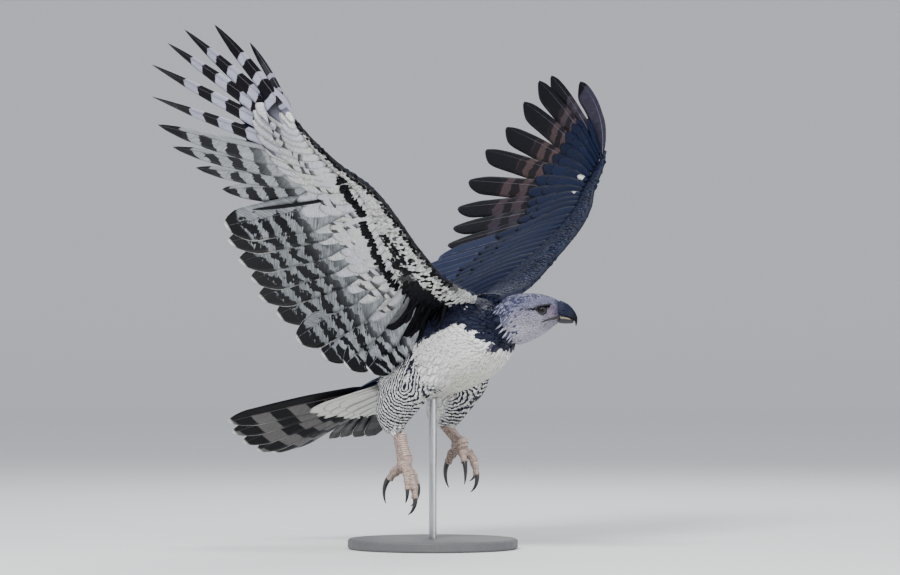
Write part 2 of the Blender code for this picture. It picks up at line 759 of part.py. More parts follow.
def make_leg(side, name, bird, torso_cut, white, skin, claw_horn):
    thigh_rings = leg_rings(THIGH[side], side, 9)
    thigh = new_object("thigh_" + name, loft(thigh_rings), PARTS, bird, white)
    add_boolean(thigh, "DIFFERENCE", torso_cut)
    take_shape(thigh)
    shank = [gap_beyond(thigh_rings)]
    for front, back, out, half in TARSUS[side]:
        front_point = at(front[0], side * out, front[1])
        back_point = at(back[0], side * out, back[1])
        shank.append(oval(front_point, back_point, half, count=LEG_RING))
    new_object("tarsus_" + name, loft(shank), PARTS, bird, skin)
    upright = bird.matrix_world.to_3x3().inverted()
    down, ahead = upright @ Vector((0, 0, -1)), upright @ Vector((0, -1, 0))
    outward = upright @ Vector((side, 0, 0))
    sole = gap_beyond(shank)
    middle = ring_middle(sole)
    pad = [sole]
    for depth, swell in PAD:
        pad.append([middle + (point - middle) * swell + down * depth for point in sole])
    foot = new_object("foot_" + name, loft(pad), PARTS, bird, skin)
    front_pitch, hind_pitch, bend = GRASP[side]
    toes = []
    for toe, turn_out, lengths, radius, claw in TOES:
        turn = radians(turn_out)
        heading = ahead * cos(turn) + outward * sin(turn)
        first = hind_pitch if toe == "hind" else front_pitch
        pitches = [radians(first + bend * k) for k in range(len(lengths))]
        start = middle + down * TOE_START + heading * TOE_SET_OUT
        points = toe_walk(start, heading, down, pitches, lengths)
        across = heading.cross(down)
        radii = [radius * (1 - TOE_TAPER * k) for k in range(len(points))]
        toes.append(loft(tube_rings(points, radii, across, TOE_RING)))
        aim = (points[-1] - points[-2]).normalized()
        start = points[-1] + aim * GAP
        bends = [pitches[-1] + CLAW_CURL * (k + 0.5) / CLAW_STEPS for k in range(CLAW_STEPS)]
        path = toe_walk(start, heading, down, bends, [claw / CLAW_STEPS] * CLAW_STEPS)
        thinning = [(1 - share) ** 0.8 for share in shares(CLAW_STEPS + 1)]
        claw_radii = [radius * CLAW_ROOT * part + CLAW_TIP for part in thinning]
        hook = tube_rings(path, claw_radii, across, CLAW_RING)
        hook[0] = circle(start, across, aim.cross(across).normalized(), claw_radii[0], CLAW_RING)
        new_object(f"claw_{toe}_{name}", loft(hook), PARTS, bird, claw_horn)
    fuse(foot, toes)
    clearance = swelled(loft(shank), GAP * 1.3)
    add_boolean(foot, "DIFFERENCE", cutter("tarsus_clearance_" + name, clearance, bird))
    take_shape(foot)


def upright_round(radius, height, foot, segments):
    """An upright cylinder on the stand's axis, from its foot up."""
    bm = bmesh.new()
    bmesh.ops.create_cone(
        bm, cap_ends=True, segments=segments, radius1=radius, radius2=radius, depth=height,
        matrix=Matrix.Translation((0, 0, foot + height / 2)),
    )
    return bm


def make_stand(torso_cut, metal, painted):
    disc = upright_round(BASE_RADIUS, BASE_THICKNESS, 0, 36)
    base = new_object("stand_base", disc, PARTS, None, painted)
    rounding = base.modifiers.new("rounding", "BEVEL")
    rounding.width = BASE_ROUNDING
    rounding.segments = 1
    rounding.limit_method = "ANGLE"
    foot = BASE_THICKNESS + GAP
    column = upright_round(ROD_RADIUS, BIRD_PLACE.z - foot, foot, 20)
    rod = new_object("stand_rod", column, PARTS, None, metal)
    add_boolean(rod, "DIFFERENCE", torso_cut)
    take_shape(rod)


for old in list(bpy.data.objects):
    bpy.data.objects.remove(old)
PARTS = new_collection("harpy_eagle")
CUTTERS = new_collection("cutters")

FEATHER_DARK = new_material("slate_feathers", (0.02, 0.024, 0.05), 0.6)
FEATHER_WHITE = new_material("white_feathers", (0.78, 0.78, 0.76), 0.8)
FEATHER_GREY = new_material("grey_head", (0.33, 0.34, 0.40), 0.8)
HORN = new_material("beak_horn", (0.03, 0.03, 0.04), 0.35)
EYE_GLASS = new_material("eye", (0.03, 0.02, 0.015), 0.08)
LEG_SKIN = new_material("leg_skin", (0.62, 0.47, 0.36), 0.65)
CLAW_HORN = new_material("claw_horn", (0.012, 0.012, 0.014), 0.3)
STEEL = new_material("brushed_steel", (0.55, 0.56, 0.58), 0.35, 1.0)
PAINT = new_material("painted_base", (0.16, 0.16, 0.17), 0.5)

BIRD = bpy.data.objects.new("bird", None)
BIRD.matrix_world = (
    Matrix.Translation(BIRD_PLACE)
    @ Matrix.Rotation(-NOSE_UP, 4, "X")
    @ Matrix.Rotation(RIGHT_SIDE_UP, 4, "Y")
)
PARTS.objects.link(BIRD)
HEAD_POSE = bpy.data.objects.new("head_pose", None)
HEAD_POSE.matrix_world = (
    Matrix.Translation(BIRD.matrix_world @ at(*HEAD_PLACE)) @ Matrix.Rotation(HEAD_TURN_LEFT, 4, "Z")
)
PARTS.objects.link(HEAD_POSE)
bpy.context.view_layer.update()

TORSO_CUT, TORSO_RINGS = make_torso(BIRD, FEATHER_WHITE)
NECK_CUT = make_neck(BIRD, HEAD_POSE, TORSO_RINGS, FEATHER_DARK)
make_head(HEAD_POSE, NECK_CUT, FEATHER_GREY, HORN, EYE_GLASS)
make_tail(BIRD, FEATHER_DARK)
for SIDE, SIDE_NAME in ((LEFT, "left"), (RIGHT, "right")):
    make_wing(SIDE, SIDE_NAME, BIRD, TORSO_CUT, FEATHER_DARK)
    make_leg(SIDE, SIDE_NAME, BIRD, TORSO_CUT, FEATHER_WHITE, LEG_SKIN, CLAW_HORN)
make_stand(TORSO_CUT, STEEL, PAINT)
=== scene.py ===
# %% [markdown]
# # A harpy eagle in flight, feather by feather
# The frame holds the plain solids of the bird and its stand, in metres, with +Z up. The bird heads
# towards -Y and its left wing reaches towards +X. This lesson dresses those solids: one smooth skin,
# a coat of feathers that follows the lie of the real one, long flight feathers with their bars,
# and a finer head, beak, eyes, legs and claws.
# %% Load the frame
from math import cos, pi, radians, sin

import bmesh
import bpy
import numpy as np
from mathutils import Matrix, Vector
from mathutils.bvhtree import BVHTree
from mathutils.kdtree import KDTree


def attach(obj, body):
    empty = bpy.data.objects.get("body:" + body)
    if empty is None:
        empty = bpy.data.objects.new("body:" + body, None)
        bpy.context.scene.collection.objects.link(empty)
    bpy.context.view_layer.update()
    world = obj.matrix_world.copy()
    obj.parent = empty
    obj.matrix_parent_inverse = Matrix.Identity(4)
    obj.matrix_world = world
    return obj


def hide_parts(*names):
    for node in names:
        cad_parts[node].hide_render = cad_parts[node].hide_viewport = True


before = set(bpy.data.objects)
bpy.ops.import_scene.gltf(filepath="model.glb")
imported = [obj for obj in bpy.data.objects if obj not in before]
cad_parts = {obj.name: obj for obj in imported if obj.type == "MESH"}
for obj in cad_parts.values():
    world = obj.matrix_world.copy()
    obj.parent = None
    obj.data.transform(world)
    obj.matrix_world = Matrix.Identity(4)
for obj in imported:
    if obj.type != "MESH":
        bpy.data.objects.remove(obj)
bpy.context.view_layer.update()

RANDOM = np.random.default_rng(11)

# %% [markdown]
# ## Where the bird is
# The bird is written in a frame of its own: forward, left and up from the middle of its back.
# Two poses carry it into the world. The whole bird is tilted nose up, and the head has a frame of
# its own, level and turned to the left, whose origin lies midway between the eyes.
# %% Poses of the bird and of the head
NOSE_UP = radians(24.4)
RIGHT_SIDE_UP = radians(2.8)
BIRD_PLACE = Vector((0.0, -0.095, 0.530))
HEAD_TURN_LEFT = radians(28.0)
HEAD_PLACE = (0.213, 0.033, -0.061)
LEFT, RIGHT = 1, -1
SIDES = {"left": LEFT, "right": RIGHT}


def at(forward, left, up):
    """A point in the bird's own frame, where forward is -y and left is +x."""
    return Vector((left, -forward, up))


BIRD_POSE = (
    Matrix.Translation(BIRD_PLACE)
    @ Matrix.Rotation(-NOSE_UP, 4, "X")
    @ Matrix.Rotation(RIGHT_SIDE_UP, 4, "Y")
)
HEAD_POSE = Matrix.Translation(BIRD_POSE @ at(*HEAD_PLACE)) @ Matrix.Rotation(HEAD_TURN_LEFT, 4, "Z")
HEAD_IN_BIRD = BIRD_POSE.inverted() @ HEAD_POSE


def carried(points, pose):
    """Rows of points, or one, moved by a pose."""
    matrix = np.array(pose)
    return np.asarray(points, float) @ matrix[:3, :3].T + matrix[:3, 3]


def unit(vectors):
    vectors = np.asarray(vectors, float)
    return vectors / np.maximum(np.linalg.norm(vectors, axis=-1, keepdims=True), 1e-12)


def dot(first, second):
    return (first * second).sum(-1, keepdims=True)


def round_turns(count):
    """Angles evenly spaced round a circle."""
    return np.arange(count) * 2 * pi / count


def add_object(name, data):
    """A new object in the scene."""
    obj = bpy.data.objects.new(name, data)
    bpy.context.scene.collection.objects.link(obj)
    return obj


def mesh_of(bm, name):
    """Turns a form that is finished into a mesh."""
    mesh = bpy.data.meshes.new(name)
    bm.to_mesh(mesh)
    bm.free()
    return mesh


def evaluated_mesh(obj):
    """The mesh of an object after its modifiers."""
    return bpy.data.meshes.new_from_object(obj.evaluated_get(bpy.context.evaluated_depsgraph_get()))


def tree_of(points):
    """A tree that finds the nearest of many points."""
    tree = KDTree(len(points))
    for index, point in enumerate(points):
        tree.insert(point, index)
    tree.balance()
    return tree


def line_share(points, start, end):
    """Share along a straight line of the place nearest to each point, and the distance to it."""
    way = end - start
    share = np.clip((points - start) @ way / (way @ way), 0, 1)
    return share, np.linalg.norm(points - start - share[:, None] * way, axis=1)


# %% [markdown]
# ## Camera, floor and light
# The photo was taken from far off with a long lens, level with the bird, from its right and a little
# ahead. So the camera stands eleven metres away, and the floor is one pale dish that curves up far
# beyond it. Three large soft lamps and a pale sky give light from all round.
# %% Camera
PIXELS_PER_METRE = 428.0
CAMERA_DISTANCE = 11.0
IMAGE_SIZE = (900, 575)
SENSOR = 36.0
VIEW_TURN = radians(40.3)
TOWARDS_CAMERA = Vector((-cos(VIEW_TURN), -sin(VIEW_TURN), 0.0))
ACROSS_VIEW = Vector((sin(VIEW_TURN), -cos(VIEW_TURN), 0.0))
VIEW_SHIFT, VIEW_RISE = 0.032, 0.0837
VIEW_CENTRE = BIRD_PLACE - VIEW_SHIFT * ACROSS_VIEW + Vector((0, 0, VIEW_RISE))

camera_data = bpy.data.cameras.new("camera")
camera_data.sensor_width = SENSOR
camera_data.lens = PIXELS_PER_METRE * CAMERA_DISTANCE * SENSOR / IMAGE_SIZE[0]
camera_data.clip_end = 100.0
camera = add_object("camera", camera_data)
camera.location = VIEW_CENTRE + TOWARDS_CAMERA * CAMERA_DISTANCE
camera.rotation_euler = (-TOWARDS_CAMERA).to_track_quat("-Z", "Y").to_euler()
bpy.context.scene.camera = camera
print("lens", round(camera_data.lens, 1), "mm, camera", round(camera.location.z, 3), "m above the floor")


# %% Shader sums
class Shade:
    """A socket of a material; sums and products of it are written as plain expressions."""

    def __init__(self, socket):
        self.socket = socket

    @staticmethod
    def node(tree, kind, settings=None, sockets=None, output=0):
        """Adds a node, makes its settings, then fills or links its sockets."""
        made = tree.nodes.new("ShaderNode" + kind)
        for name, value in (settings or {}).items():
            if name == "stops":
                ramp = made.color_ramp.elements
                while len(ramp) < len(value):
                    ramp.new(1.0)
                for element, (place, colour) in zip(ramp, value):
                    element.position = place
                    element.color = (*colour, 1.0)
            else:
                setattr(made, name, value)
        for name, value in (sockets or {}).items():
            if isinstance(value, Shade):
                tree.links.new(value.socket, made.inputs[name])
            else:
                made.inputs[name].default_value = value
        return Shade(made.outputs[output])

    def maths(self, operation, other=0.0, swapped=False):
        first, second = (other, self) if swapped else (self, other)
        return Shade.node(self.socket.id_data, "Math", {"operation": operation}, {0: first, 1: second})

    def __add__(self, other):
        return self.maths("ADD", other)

    __radd__ = __add__

    def __sub__(self, other):
        return self.maths("SUBTRACT", other)

    def __rsub__(self, other):
        return self.maths("SUBTRACT", other, True)

    def __mul__(self, other):
        return self.maths("MULTIPLY", other)

    __rmul__ = __mul__

    def __truediv__(self, other):
        return self.maths("DIVIDE", other)

    def step(self, start, end):
        """Rises smoothly from 0 at start to 1 at end."""
        settings = {"interpolation_type": "SMOOTHSTEP"}
        sockets = {"Value": self, "From Min": start, "From Max": end}
        return Shade.node(self.socket.id_data, "MapRange", settings, sockets)

    def mix(self, first, second):
        """The first colour where this is 0 and the second where it is 1."""
        sockets = {0: self, 6: opaque(first), 7: opaque(second)}
        return Shade.node(self.socket.id_data, "Mix", {"data_type": "RGBA"}, sockets, 2)

    def part(self, index):
        """One of the three numbers of a vector."""
        return Shade.node(self.socket.id_data, "SeparateXYZ", None, {0: self}, index)

    def scaled(self, factor):
        """A colour made darker or brighter."""
        sockets = {0: self, "Scale": factor}
        return Shade.node(self.socket.id_data, "VectorMath", {"operation": "SCALE"}, sockets)


def opaque(colour):
    """What a colour socket takes: another socket, or a colour with full cover."""
    return colour if isinstance(colour, Shade) else (*colour, 1.0)


class Finish:
    """A material while it is being made."""

    def __init__(self, name, roughness, **constants):
        self.material = bpy.data.materials.new(name)
        self.material.use_nodes = True
        self.tree = self.material.node_tree
        self.shader = self.tree.nodes["Principled BSDF"]
        self.shader.inputs["Roughness"].default_value = roughness
        for socket, value in constants.items():
            self.shader.inputs[socket.replace("_", " ")].default_value = value

    def node(self, kind, settings=None, sockets=None, output=0):
        return Shade.node(self.tree, kind, settings, sockets, output)

    def place(self):
        return self.node("TexCoord", output=3)

    def attribute(self, name, output=0):
        return self.node("Attribute", {"attribute_name": name}, output=output)

    def vane(self):
        """How far across a vane, 0 behind to 1 in front, and along it, 0 at the root to 1 at the tip."""
        uv = self.node("UVMap", {"uv_map": "Vane"})
        return uv.part(0), uv.part(1)

    def vector(self, *values):
        return self.node("CombineXYZ", None, dict(enumerate(values)))

    def noise(self, scale, where=None, detail=3.0):
        sockets = {"Vector": where or self.place(), "Scale": scale, "Detail": detail}
        return self.node("TexNoise", None, sockets)

    def set(self, socket, value):
        if isinstance(value, Shade):
            self.tree.links.new(value.socket, self.shader.inputs[socket])
        else:
            self.shader.inputs[socket].default_value = value

    def bump(self, height, distance, strength=1.0):
        sockets = {"Height": height, "Distance": distance, "Strength": strength}
        self.set("Normal", self.node("Bump", None, sockets))


# %% Floor and lamps
FLOOR_START, FLOOR_REACH, FLOOR_RINGS = 0.5, 15.0, 24
FLOOR_RISE = 5.5
# Lamp: how far towards the camera, across the view and up it hangs, its width and its power
LAMPS = {
    "key_lamp": ((2.6, -1.2, 3.2), 1.8, 210.0),
    "fill_lamp": ((2.4, 2.6, 0.6), 2.6, 45.0),
    "rim_lamp": ((-3.0, 0.6, 2.6), 2.0, 80.0),
}


def make_floor():
    """A wide disc whose outer fifth curves up."""
    bm = bmesh.new()
    bmesh.ops.create_circle(bm, cap_ends=True, segments=96, radius=FLOOR_START)
    edge = [e for e in bm.edges if e.is_boundary]
    for ring in range(1, FLOOR_RINGS + 1):
        grown = bmesh.ops.extrude_edge_only(bm, edges=edge)["geom"]
        verts = [g for g in grown if isinstance(g, bmesh.types.BMVert)]
        edge = [g for g in grown if isinstance(g, bmesh.types.BMEdge) and g.is_boundary]
        share = ring / FLOOR_RINGS
        for vert in verts:
            reach = FLOOR_START + (FLOOR_REACH - FLOOR_START) * share
            vert.co = Vector((vert.co.x, vert.co.y, 0.0)).normalized() * reach
            vert.co.z = FLOOR_RISE * max(0.0, (share - 0.8) / 0.2) ** 2
    bmesh.ops.recalc_face_normals(bm, faces=bm.faces)
    mesh = mesh_of(bm, "floor")
    mesh.shade_smooth()
    paper = Finish("pale_floor", 0.9)
    paper.set("Base Color", opaque((0.86, 0.86, 0.85)))
    mesh.materials.append(paper.material)
    add_object("floor", mesh)


make_floor()
for lamp_name, ((towards, across, up), size, power) in LAMPS.items():
    lamp = bpy.data.lights.new(lamp_name, "AREA")
    lamp.shape = "DISK"
    lamp.size = size
    lamp.energy = power
    holder = add_object(lamp_name, lamp)
    holder.location = VIEW_CENTRE + TOWARDS_CAMERA * towards + ACROSS_VIEW * across + Vector((0, 0, up))
    holder.rotation_euler = (VIEW_CENTRE - holder.location).to_track_quat("-Z", "Y").to_euler()
world = bpy.data.worlds.new("pale_sky")
world.use_nodes = True
world.node_tree.nodes["Background"].inputs["Color"].default_value = (0.86, 0.90, 1.0, 1.0)
world.node_tree.nodes["Background"].inputs["Strength"].default_value = 0.65
bpy.context.scene.world = world
print("floor, three lamps and a pale sky")

# %% [markdown]
# ## Smooth forms through sections
# Every rounded part of the body is a tube through a few sections, like the hoops of a basket.
# A grid rolled into a tube and closed at both ends gives each one, and a smooth curve through
# the sections gives as many hoops as the form needs.


# %% Curves, rings and tubes
def smooth_curve(values, share):
    """Values at shares, 0 to 1, of a smooth curve through values evenly spaced along it."""
    values = np.asarray(values, float)
    place = np.clip(np.asarray(share, float), 0, 1) * (len(values) - 1)
    low = np.minimum(place.astype(int), len(values) - 2)
    t = place - low
    if values.ndim > 1:
        t = t[..., None]
    start, end = values[low], values[low + 1]
    before = values[np.maximum(low - 1, 0)]
    after = values[np.minimum(low + 2, len(values) - 1)]
    return (
        start * (2 * t**3 - 3 * t**2 + 1)
        + (end - before) / 2 * (t**3 - 2 * t**2 + t)
        + end * (3 * t**2 - 2 * t**3)
        + (after - start) / 2 * (t**3 - t**2)
    )


def oval(top, bottom, half_width, side=(1, 0, 0), count=28, fullness=0.92):
    """A ring of points between top and bottom, a little fuller than an ellipse."""
    top, bottom = np.asarray(top, float), np.asarray(bottom, float)
    turn = round_turns(count)
    rise = np.abs(np.cos(turn)) ** fullness * np.sign(np.cos(turn))
    out = np.abs(np.sin(turn)) ** fullness * np.sign(np.sin(turn))
    middle, half = (top + bottom) / 2, (top - bottom) / 2
    return middle + rise[:, None] * half + out[:, None] * half_width * np.asarray(side, float)


def rings_through(sections, steps, count=28):
    """Smooth ovals through sections of a middle plane: top and bottom (forward, up), half width."""
    tops = [at(top[0], 0, top[1]) for top, _, _ in sections]
    bottoms = [at(bottom[0], 0, bottom[1]) for _, bottom, _ in sections]
    widths = [width for _, _, width in sections]
    shares = np.linspace(0, 1, steps)
    curves = zip(smooth_curve(tops, shares), smooth_curve(bottoms, shares), smooth_curve(widths, shares))
    return [oval(top, bottom, width, count=count) for top, bottom, width in curves]


def tube(rings):
    """A grid rolled up into a closed tube whose rings are given, with its own map of the surface."""
    rows, count = len(rings), len(rings[0])
    bm = bmesh.new()
    bmesh.ops.create_grid(bm, x_segments=count, y_segments=rows - 1, size=1.0)
    layer = bm.loops.layers.uv.new("Vane")
    for face in bm.faces:
        for loop in face.loops:
            loop[layer].uv = ((loop.vert.co.x + 1) / 2, (loop.vert.co.y + 1) / 2)
    for vert in bm.verts:
        around = round((vert.co.x + 1) / 2 * count) % count
        vert.co = rings[round((vert.co.y + 1) / 2 * (rows - 1))][around]
    bmesh.ops.remove_doubles(bm, verts=bm.verts, dist=1e-6)
    bmesh.ops.holes_fill(bm, edges=[e for e in bm.edges if e.is_boundary], sides=count)
    bmesh.ops.recalc_face_normals(bm, faces=bm.faces)
    return bm


def swelled(bm, amount):
    """The same form with every point moved outwards, or inwards by less than nothing."""
    bm.normal_update()
    moves = [(vert, vert.normal * amount) for vert in bm.verts]
    for vert, move in moves:
        vert.co += move
    return bm


def joined(forms):
    """Several forms in one."""
    whole = bmesh.new()
    for form in forms:
        mesh = mesh_of(form, "form")
        whole.from_mesh(mesh)
        bpy.data.meshes.remove(mesh)
    return whole


def finished(name, mesh, material, slot, *nodes):
    """Gives a mesh, already in its place in the world, a name and a material, and hangs it on the root; the
    slot it is given is not used.
    """
    obj = add_object(name, mesh)
    mesh.materials.clear()
    mesh.materials.append(material)
    mesh.shade_smooth()
    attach(obj, "root")
    if nodes:
        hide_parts(*nodes)
    count = sum(len(face.vertices) - 2 for face in mesh.polygons)
    print(f"{name}: {count} triangles")
    return obj


def placed(name, bm, pose, material, slot, *nodes):
    """A finished piece from a form written in the bird's or the head's frame."""
    bmesh.ops.transform(bm, matrix=pose, verts=bm.verts)
    return finished(name, mesh_of(bm, name), material, slot, *nodes)


# %% [markdown]
# ## The sections of the body
# These are the same sections as the solids have: the torso from the neck back to the tail,
# the head from its back to the beak, the fleshed part of the wings and the thighs.
# %% Sections
TORSO = (
    ((0.098, 0.004), (0.104, -0.106), 0.056),
    ((0.070, 0.040), (0.074, -0.128), 0.084),
    ((0.020, 0.060), (0.030, -0.143), 0.100),
    ((-0.040, 0.060), (-0.025, -0.149), 0.103),
    ((-0.100, 0.050), (-0.090, -0.143), 0.097),
    ((-0.160, 0.033), (-0.155, -0.127), 0.085),
    ((-0.210, 0.014), (-0.205, -0.106), 0.069),
    ((-0.250, -0.006), (-0.247, -0.082), 0.053),
)
HEAD = (
    ((-0.112, 0.012), (-0.060, -0.083), 0.050),
    ((-0.085, 0.034), (-0.035, -0.074), 0.052),
    ((-0.050, 0.041), (-0.012, -0.063), 0.049),
    ((-0.018, 0.041), (0.006, -0.052), 0.043),
    ((0.008, 0.036), (0.018, -0.042), 0.033),
    ((0.026, 0.029), (0.028, -0.035), 0.022),
    ((0.038, 0.023), (0.036, -0.031), 0.0155),
)
WING_FLESH = (
    ((0.100, 0.040, 0.022), (-0.080, 0.045, 0.046), 0.052),
    ((0.112, 0.150, 0.056), (-0.066, 0.145, 0.094), 0.040),
    ((0.134, 0.240, 0.116), (0.002, 0.234, 0.150), 0.032),
    ((0.166, 0.330, 0.186), (0.070, 0.320, 0.207), 0.027),
    ((0.174, 0.392, 0.246), (0.110, 0.384, 0.260), 0.023),
    ((0.156, 0.452, 0.304), (0.108, 0.445, 0.316), 0.018),
    ((0.153, 0.518, 0.368), (0.116, 0.511, 0.377), 0.014),
    ((0.150, 0.556, 0.420), (0.130, 0.552, 0.422), 0.009),
)
WRIST = 4 / 7
FLESH_SECTION = (
    (0.0, 0.0), (0.03, 0.34), (0.10, 0.62), (0.30, 1.0), (0.50, 0.92), (0.70, 0.70), (1.0, 0.12),
    (1.0, -0.12), (0.70, -0.60), (0.50, -0.76), (0.30, -0.85), (0.10, -0.58), (0.03, -0.32),
)
THIGHS = {
    RIGHT: (
        ((0.000, -0.095), (-0.150, -0.020), 0.055, 0.040),
        ((-0.075, -0.134), (-0.222, -0.060), 0.076, 0.047),
        ((-0.122, -0.152), (-0.245, -0.095), 0.083, 0.046),
        ((-0.170, -0.170), (-0.257, -0.132), 0.086, 0.037),
        ((-0.194, -0.180), (-0.252, -0.162), 0.088, 0.027),
        ((-0.199, -0.192), (-0.240, -0.186), 0.089, 0.018),
    ),
    LEFT: (
        ((0.010, -0.095), (-0.140, -0.020), 0.055, 0.040),
        ((-0.055, -0.134), (-0.200, -0.062), 0.076, 0.047),
        ((-0.092, -0.150), (-0.230, -0.088), 0.082, 0.044),
        ((-0.135, -0.167), (-0.247, -0.115), 0.083, 0.036),
        ((-0.164, -0.178), (-0.252, -0.138), 0.083, 0.028),
        ((-0.184, -0.186), (-0.238, -0.160), 0.083, 0.019),
    ),
}
TAIL_ROOT = (-0.2503, 0.0, -0.044)
TAIL_TURN_LEFT = radians(6.0)
# Hoops of the tail's root: distance behind it, reach above and below its middle, half width
TAIL_ROOT_HOOPS = ((0.03, 0.033, 0.034, 0.051), (0.08, 0.024, 0.028, 0.046), (0.13, 0.008, 0.012, 0.034))
# How far the skin lies inside the solids
BODY_COAT, HEAD_COAT, THIGH_COAT, WING_COAT = 0.006, 0.003, 0.005, 0.0022
VOXEL = 0.0036


class Wing:
    """One wing: its fleshed part and the fan of flight feathers that it carries."""

    def __init__(self, side):
        self.side = side
        self.fronts = np.array([self.spot(front) for front, _, _ in WING_FLESH])
        self.backs = np.array([self.spot(back) for _, back, _ in WING_FLESH])
        self.thicks = np.array([thick for _, _, thick in WING_FLESH])

    def spot(self, point):
        return (self.side * point[1], -point[0], point[2])

    def station(self, share):
        """Front, back, upward normal and half thickness of the flesh at shares of the wing's length."""
        share = np.asarray(share, float)
        front, back = smooth_curve(self.fronts, share), smooth_curve(self.backs, share)
        span = smooth_curve(self.fronts, share + 0.05) - smooth_curve(self.fronts, share - 0.05)
        normal = unit(np.cross(back - front, span)) * -self.side
        return front, back, normal, smooth_curve(self.thicks, share) / 2

    def flesh_rings(self, steps):
        rings = []
        for share in np.linspace(0, 1, steps):
            front, back, normal, half = self.station(share)
            rings.append([front + (back - front) * a + normal * half * h for a, h in FLESH_SECTION])
        return rings


WINGS = {name: Wing(side) for name, side in SIDES.items()}
HEAD_RINGS = [carried(ring, HEAD_IN_BIRD) for ring in rings_through(HEAD, 25)]
TORSO_RINGS = rings_through(TORSO, 25)


def thigh_rings(side, steps=16):
    fronts, backs, outs, widths = zip(*THIGHS[side])
    shares = np.linspace(0, 1, steps)
    front = smooth_curve([at(f[0], side * out, f[1]) for f, out in zip(fronts, outs)], shares)
    back = smooth_curve([at(b[0], side * out, b[1]) for b, out in zip(backs, outs)], shares)
    return [oval(f, b, w) for f, b, w in zip(front, back, smooth_curve(widths, shares))]


def neck_rings():
    """From inside the torso to inside the head."""
    start, end = np.array(TORSO_RINGS[0]), np.array(HEAD_RINGS[0])
    end = end.mean(0) + (end - end.mean(0)) * 0.95
    shares = np.linspace(-0.35, 1.25, 10)
    return [start + (end - start) * share for share in shares]


def tail_root_rings():
    top, bottom, width = TORSO[-1]
    base = oval(at(top[0], 0, top[1]), at(bottom[0], 0, bottom[1]), width)
    turn = Matrix.Rotation(-TAIL_TURN_LEFT, 4, "Z")
    rings = [base + np.array(at(0.03, 0, 0)), base]
    for back, high, low, wide in TAIL_ROOT_HOOPS:
        middle = at(*TAIL_ROOT) + turn @ at(-back, 0, 0)
        rings.append(oval(middle + at(0, 0, high), middle - at(0, 0, low), wide, turn @ Vector((1, 0, 0))))
    return rings


BODY_PARTS = {
    "torso": (TORSO_RINGS, BODY_COAT),
    "neck": (neck_rings(), BODY_COAT),
    "head": (HEAD_RINGS, HEAD_COAT),
    "tail": (tail_root_rings(), BODY_COAT),
    "wing_left": (WINGS["left"].flesh_rings(40), WING_COAT),
    "wing_right": (WINGS["right"].flesh_rings(40), WING_COAT),
    "thigh_left": (thigh_rings(LEFT), THIGH_COAT),
    "thigh_right": (thigh_rings(RIGHT), THIGH_COAT),
}
PART_NAMES = list(BODY_PARTS)
print("parts under one skin:", ", ".join(PART_NAMES))

# %% [markdown]
# ## One skin
# A real bird has one skin, so the parts are joined and remeshed as one surface, then smoothed, so
# that neck, wings and thighs flow into the body. It lies a coat's depth inside the solids.


# %% Skin
def remeshed(bm, voxel, smoothing):
    """One closed surface round several forms."""
    mesh = mesh_of(bm, "rough")
    obj = add_object("rough", mesh)
    modifier = obj.modifiers.new("one_surface", "REMESH")
    modifier.mode = "VOXEL"
    modifier.voxel_size = voxel
    bpy.context.view_layer.update()
    surface = evaluated_mesh(obj)
    bpy.data.objects.remove(obj)
    bpy.data.meshes.remove(mesh)
    out = bmesh.new()
    out.from_mesh(surface)
    bpy.data.meshes.remove(surface)
    every_way = {"use_axis_x": True, "use_axis_y": True, "use_axis_z": True}
    for _ in range(smoothing):
        bmesh.ops.smooth_vert(out, verts=out.verts, factor=0.5, **every_way)
    return out


part_trees = []
thin_forms = []
for rings, depth in BODY_PARTS.values():
    whole = tube(rings)
    part_trees.append(BVHTree.FromBMesh(whole))
    thin_forms.append(swelled(whole, -depth))
skin_form = remeshed(joined(thin_forms), VOXEL, 4)
bmesh.ops.triangulate(skin_form, faces=skin_form.faces)
skin_form.normal_update()
SKIN_TREE = BVHTree.FromBMesh(skin_form)
SKIN_CORNERS = np.array([[vert.co for vert in face.verts] for face in skin_form.faces])
SKIN_NORMALS = np.array([face.normal for face in skin_form.faces])
SKIN_POINTS = np.array([vert.co for vert in skin_form.verts])
POINT_NORMALS = np.array([vert.normal for vert in skin_form.verts])
print("skin:", len(SKIN_CORNERS), "triangles")

# %% [markdown]
# ## Unrolling the skin
# Every feather needs a small patch of its own in a flat picture of the bird, at the place of its root.
# Each part of the skin is cut into the six sides that it shows, and the sides are laid out as
# rectangles in shelves. The same rule gives the flat place of any point of the skin.
# %% Flat map of the skin
RING_POINTS, ring_facts = [], []
for part, (rings, _) in enumerate(BODY_PARTS.values()):
    for row, ring in enumerate(rings):
        RING_POINTS.extend(ring)
        ring_facts.extend([(part, row / (len(rings) - 1))] * len(ring))
RING_PART, RING_ALONG = np.array(ring_facts).T
RING_PART = RING_PART.astype(int)
ring_tree = tree_of(RING_POINTS)


def nearest_ring(points):
    """Part of the body and share along it of the hoops' point next to each point."""
    found = np.array([ring_tree.find(point)[1] for point in points])
    return RING_PART[found], RING_ALONG[found]


def side_of(normals):
    """Which of six sides a direction shows: 0 to 5."""
    axis = np.abs(normals).argmax(1)
    return axis * 2 + (np.take_along_axis(normals, axis[:, None], 1)[:, 0] < 0)


def flattened(points, side):
    axis = side // 2
    first, second = np.array([1, 2, 0])[axis], np.array([2, 0, 1])[axis]
    rows = np.arange(len(points))
    return np.stack([points[rows, first], points[rows, second]], 1)


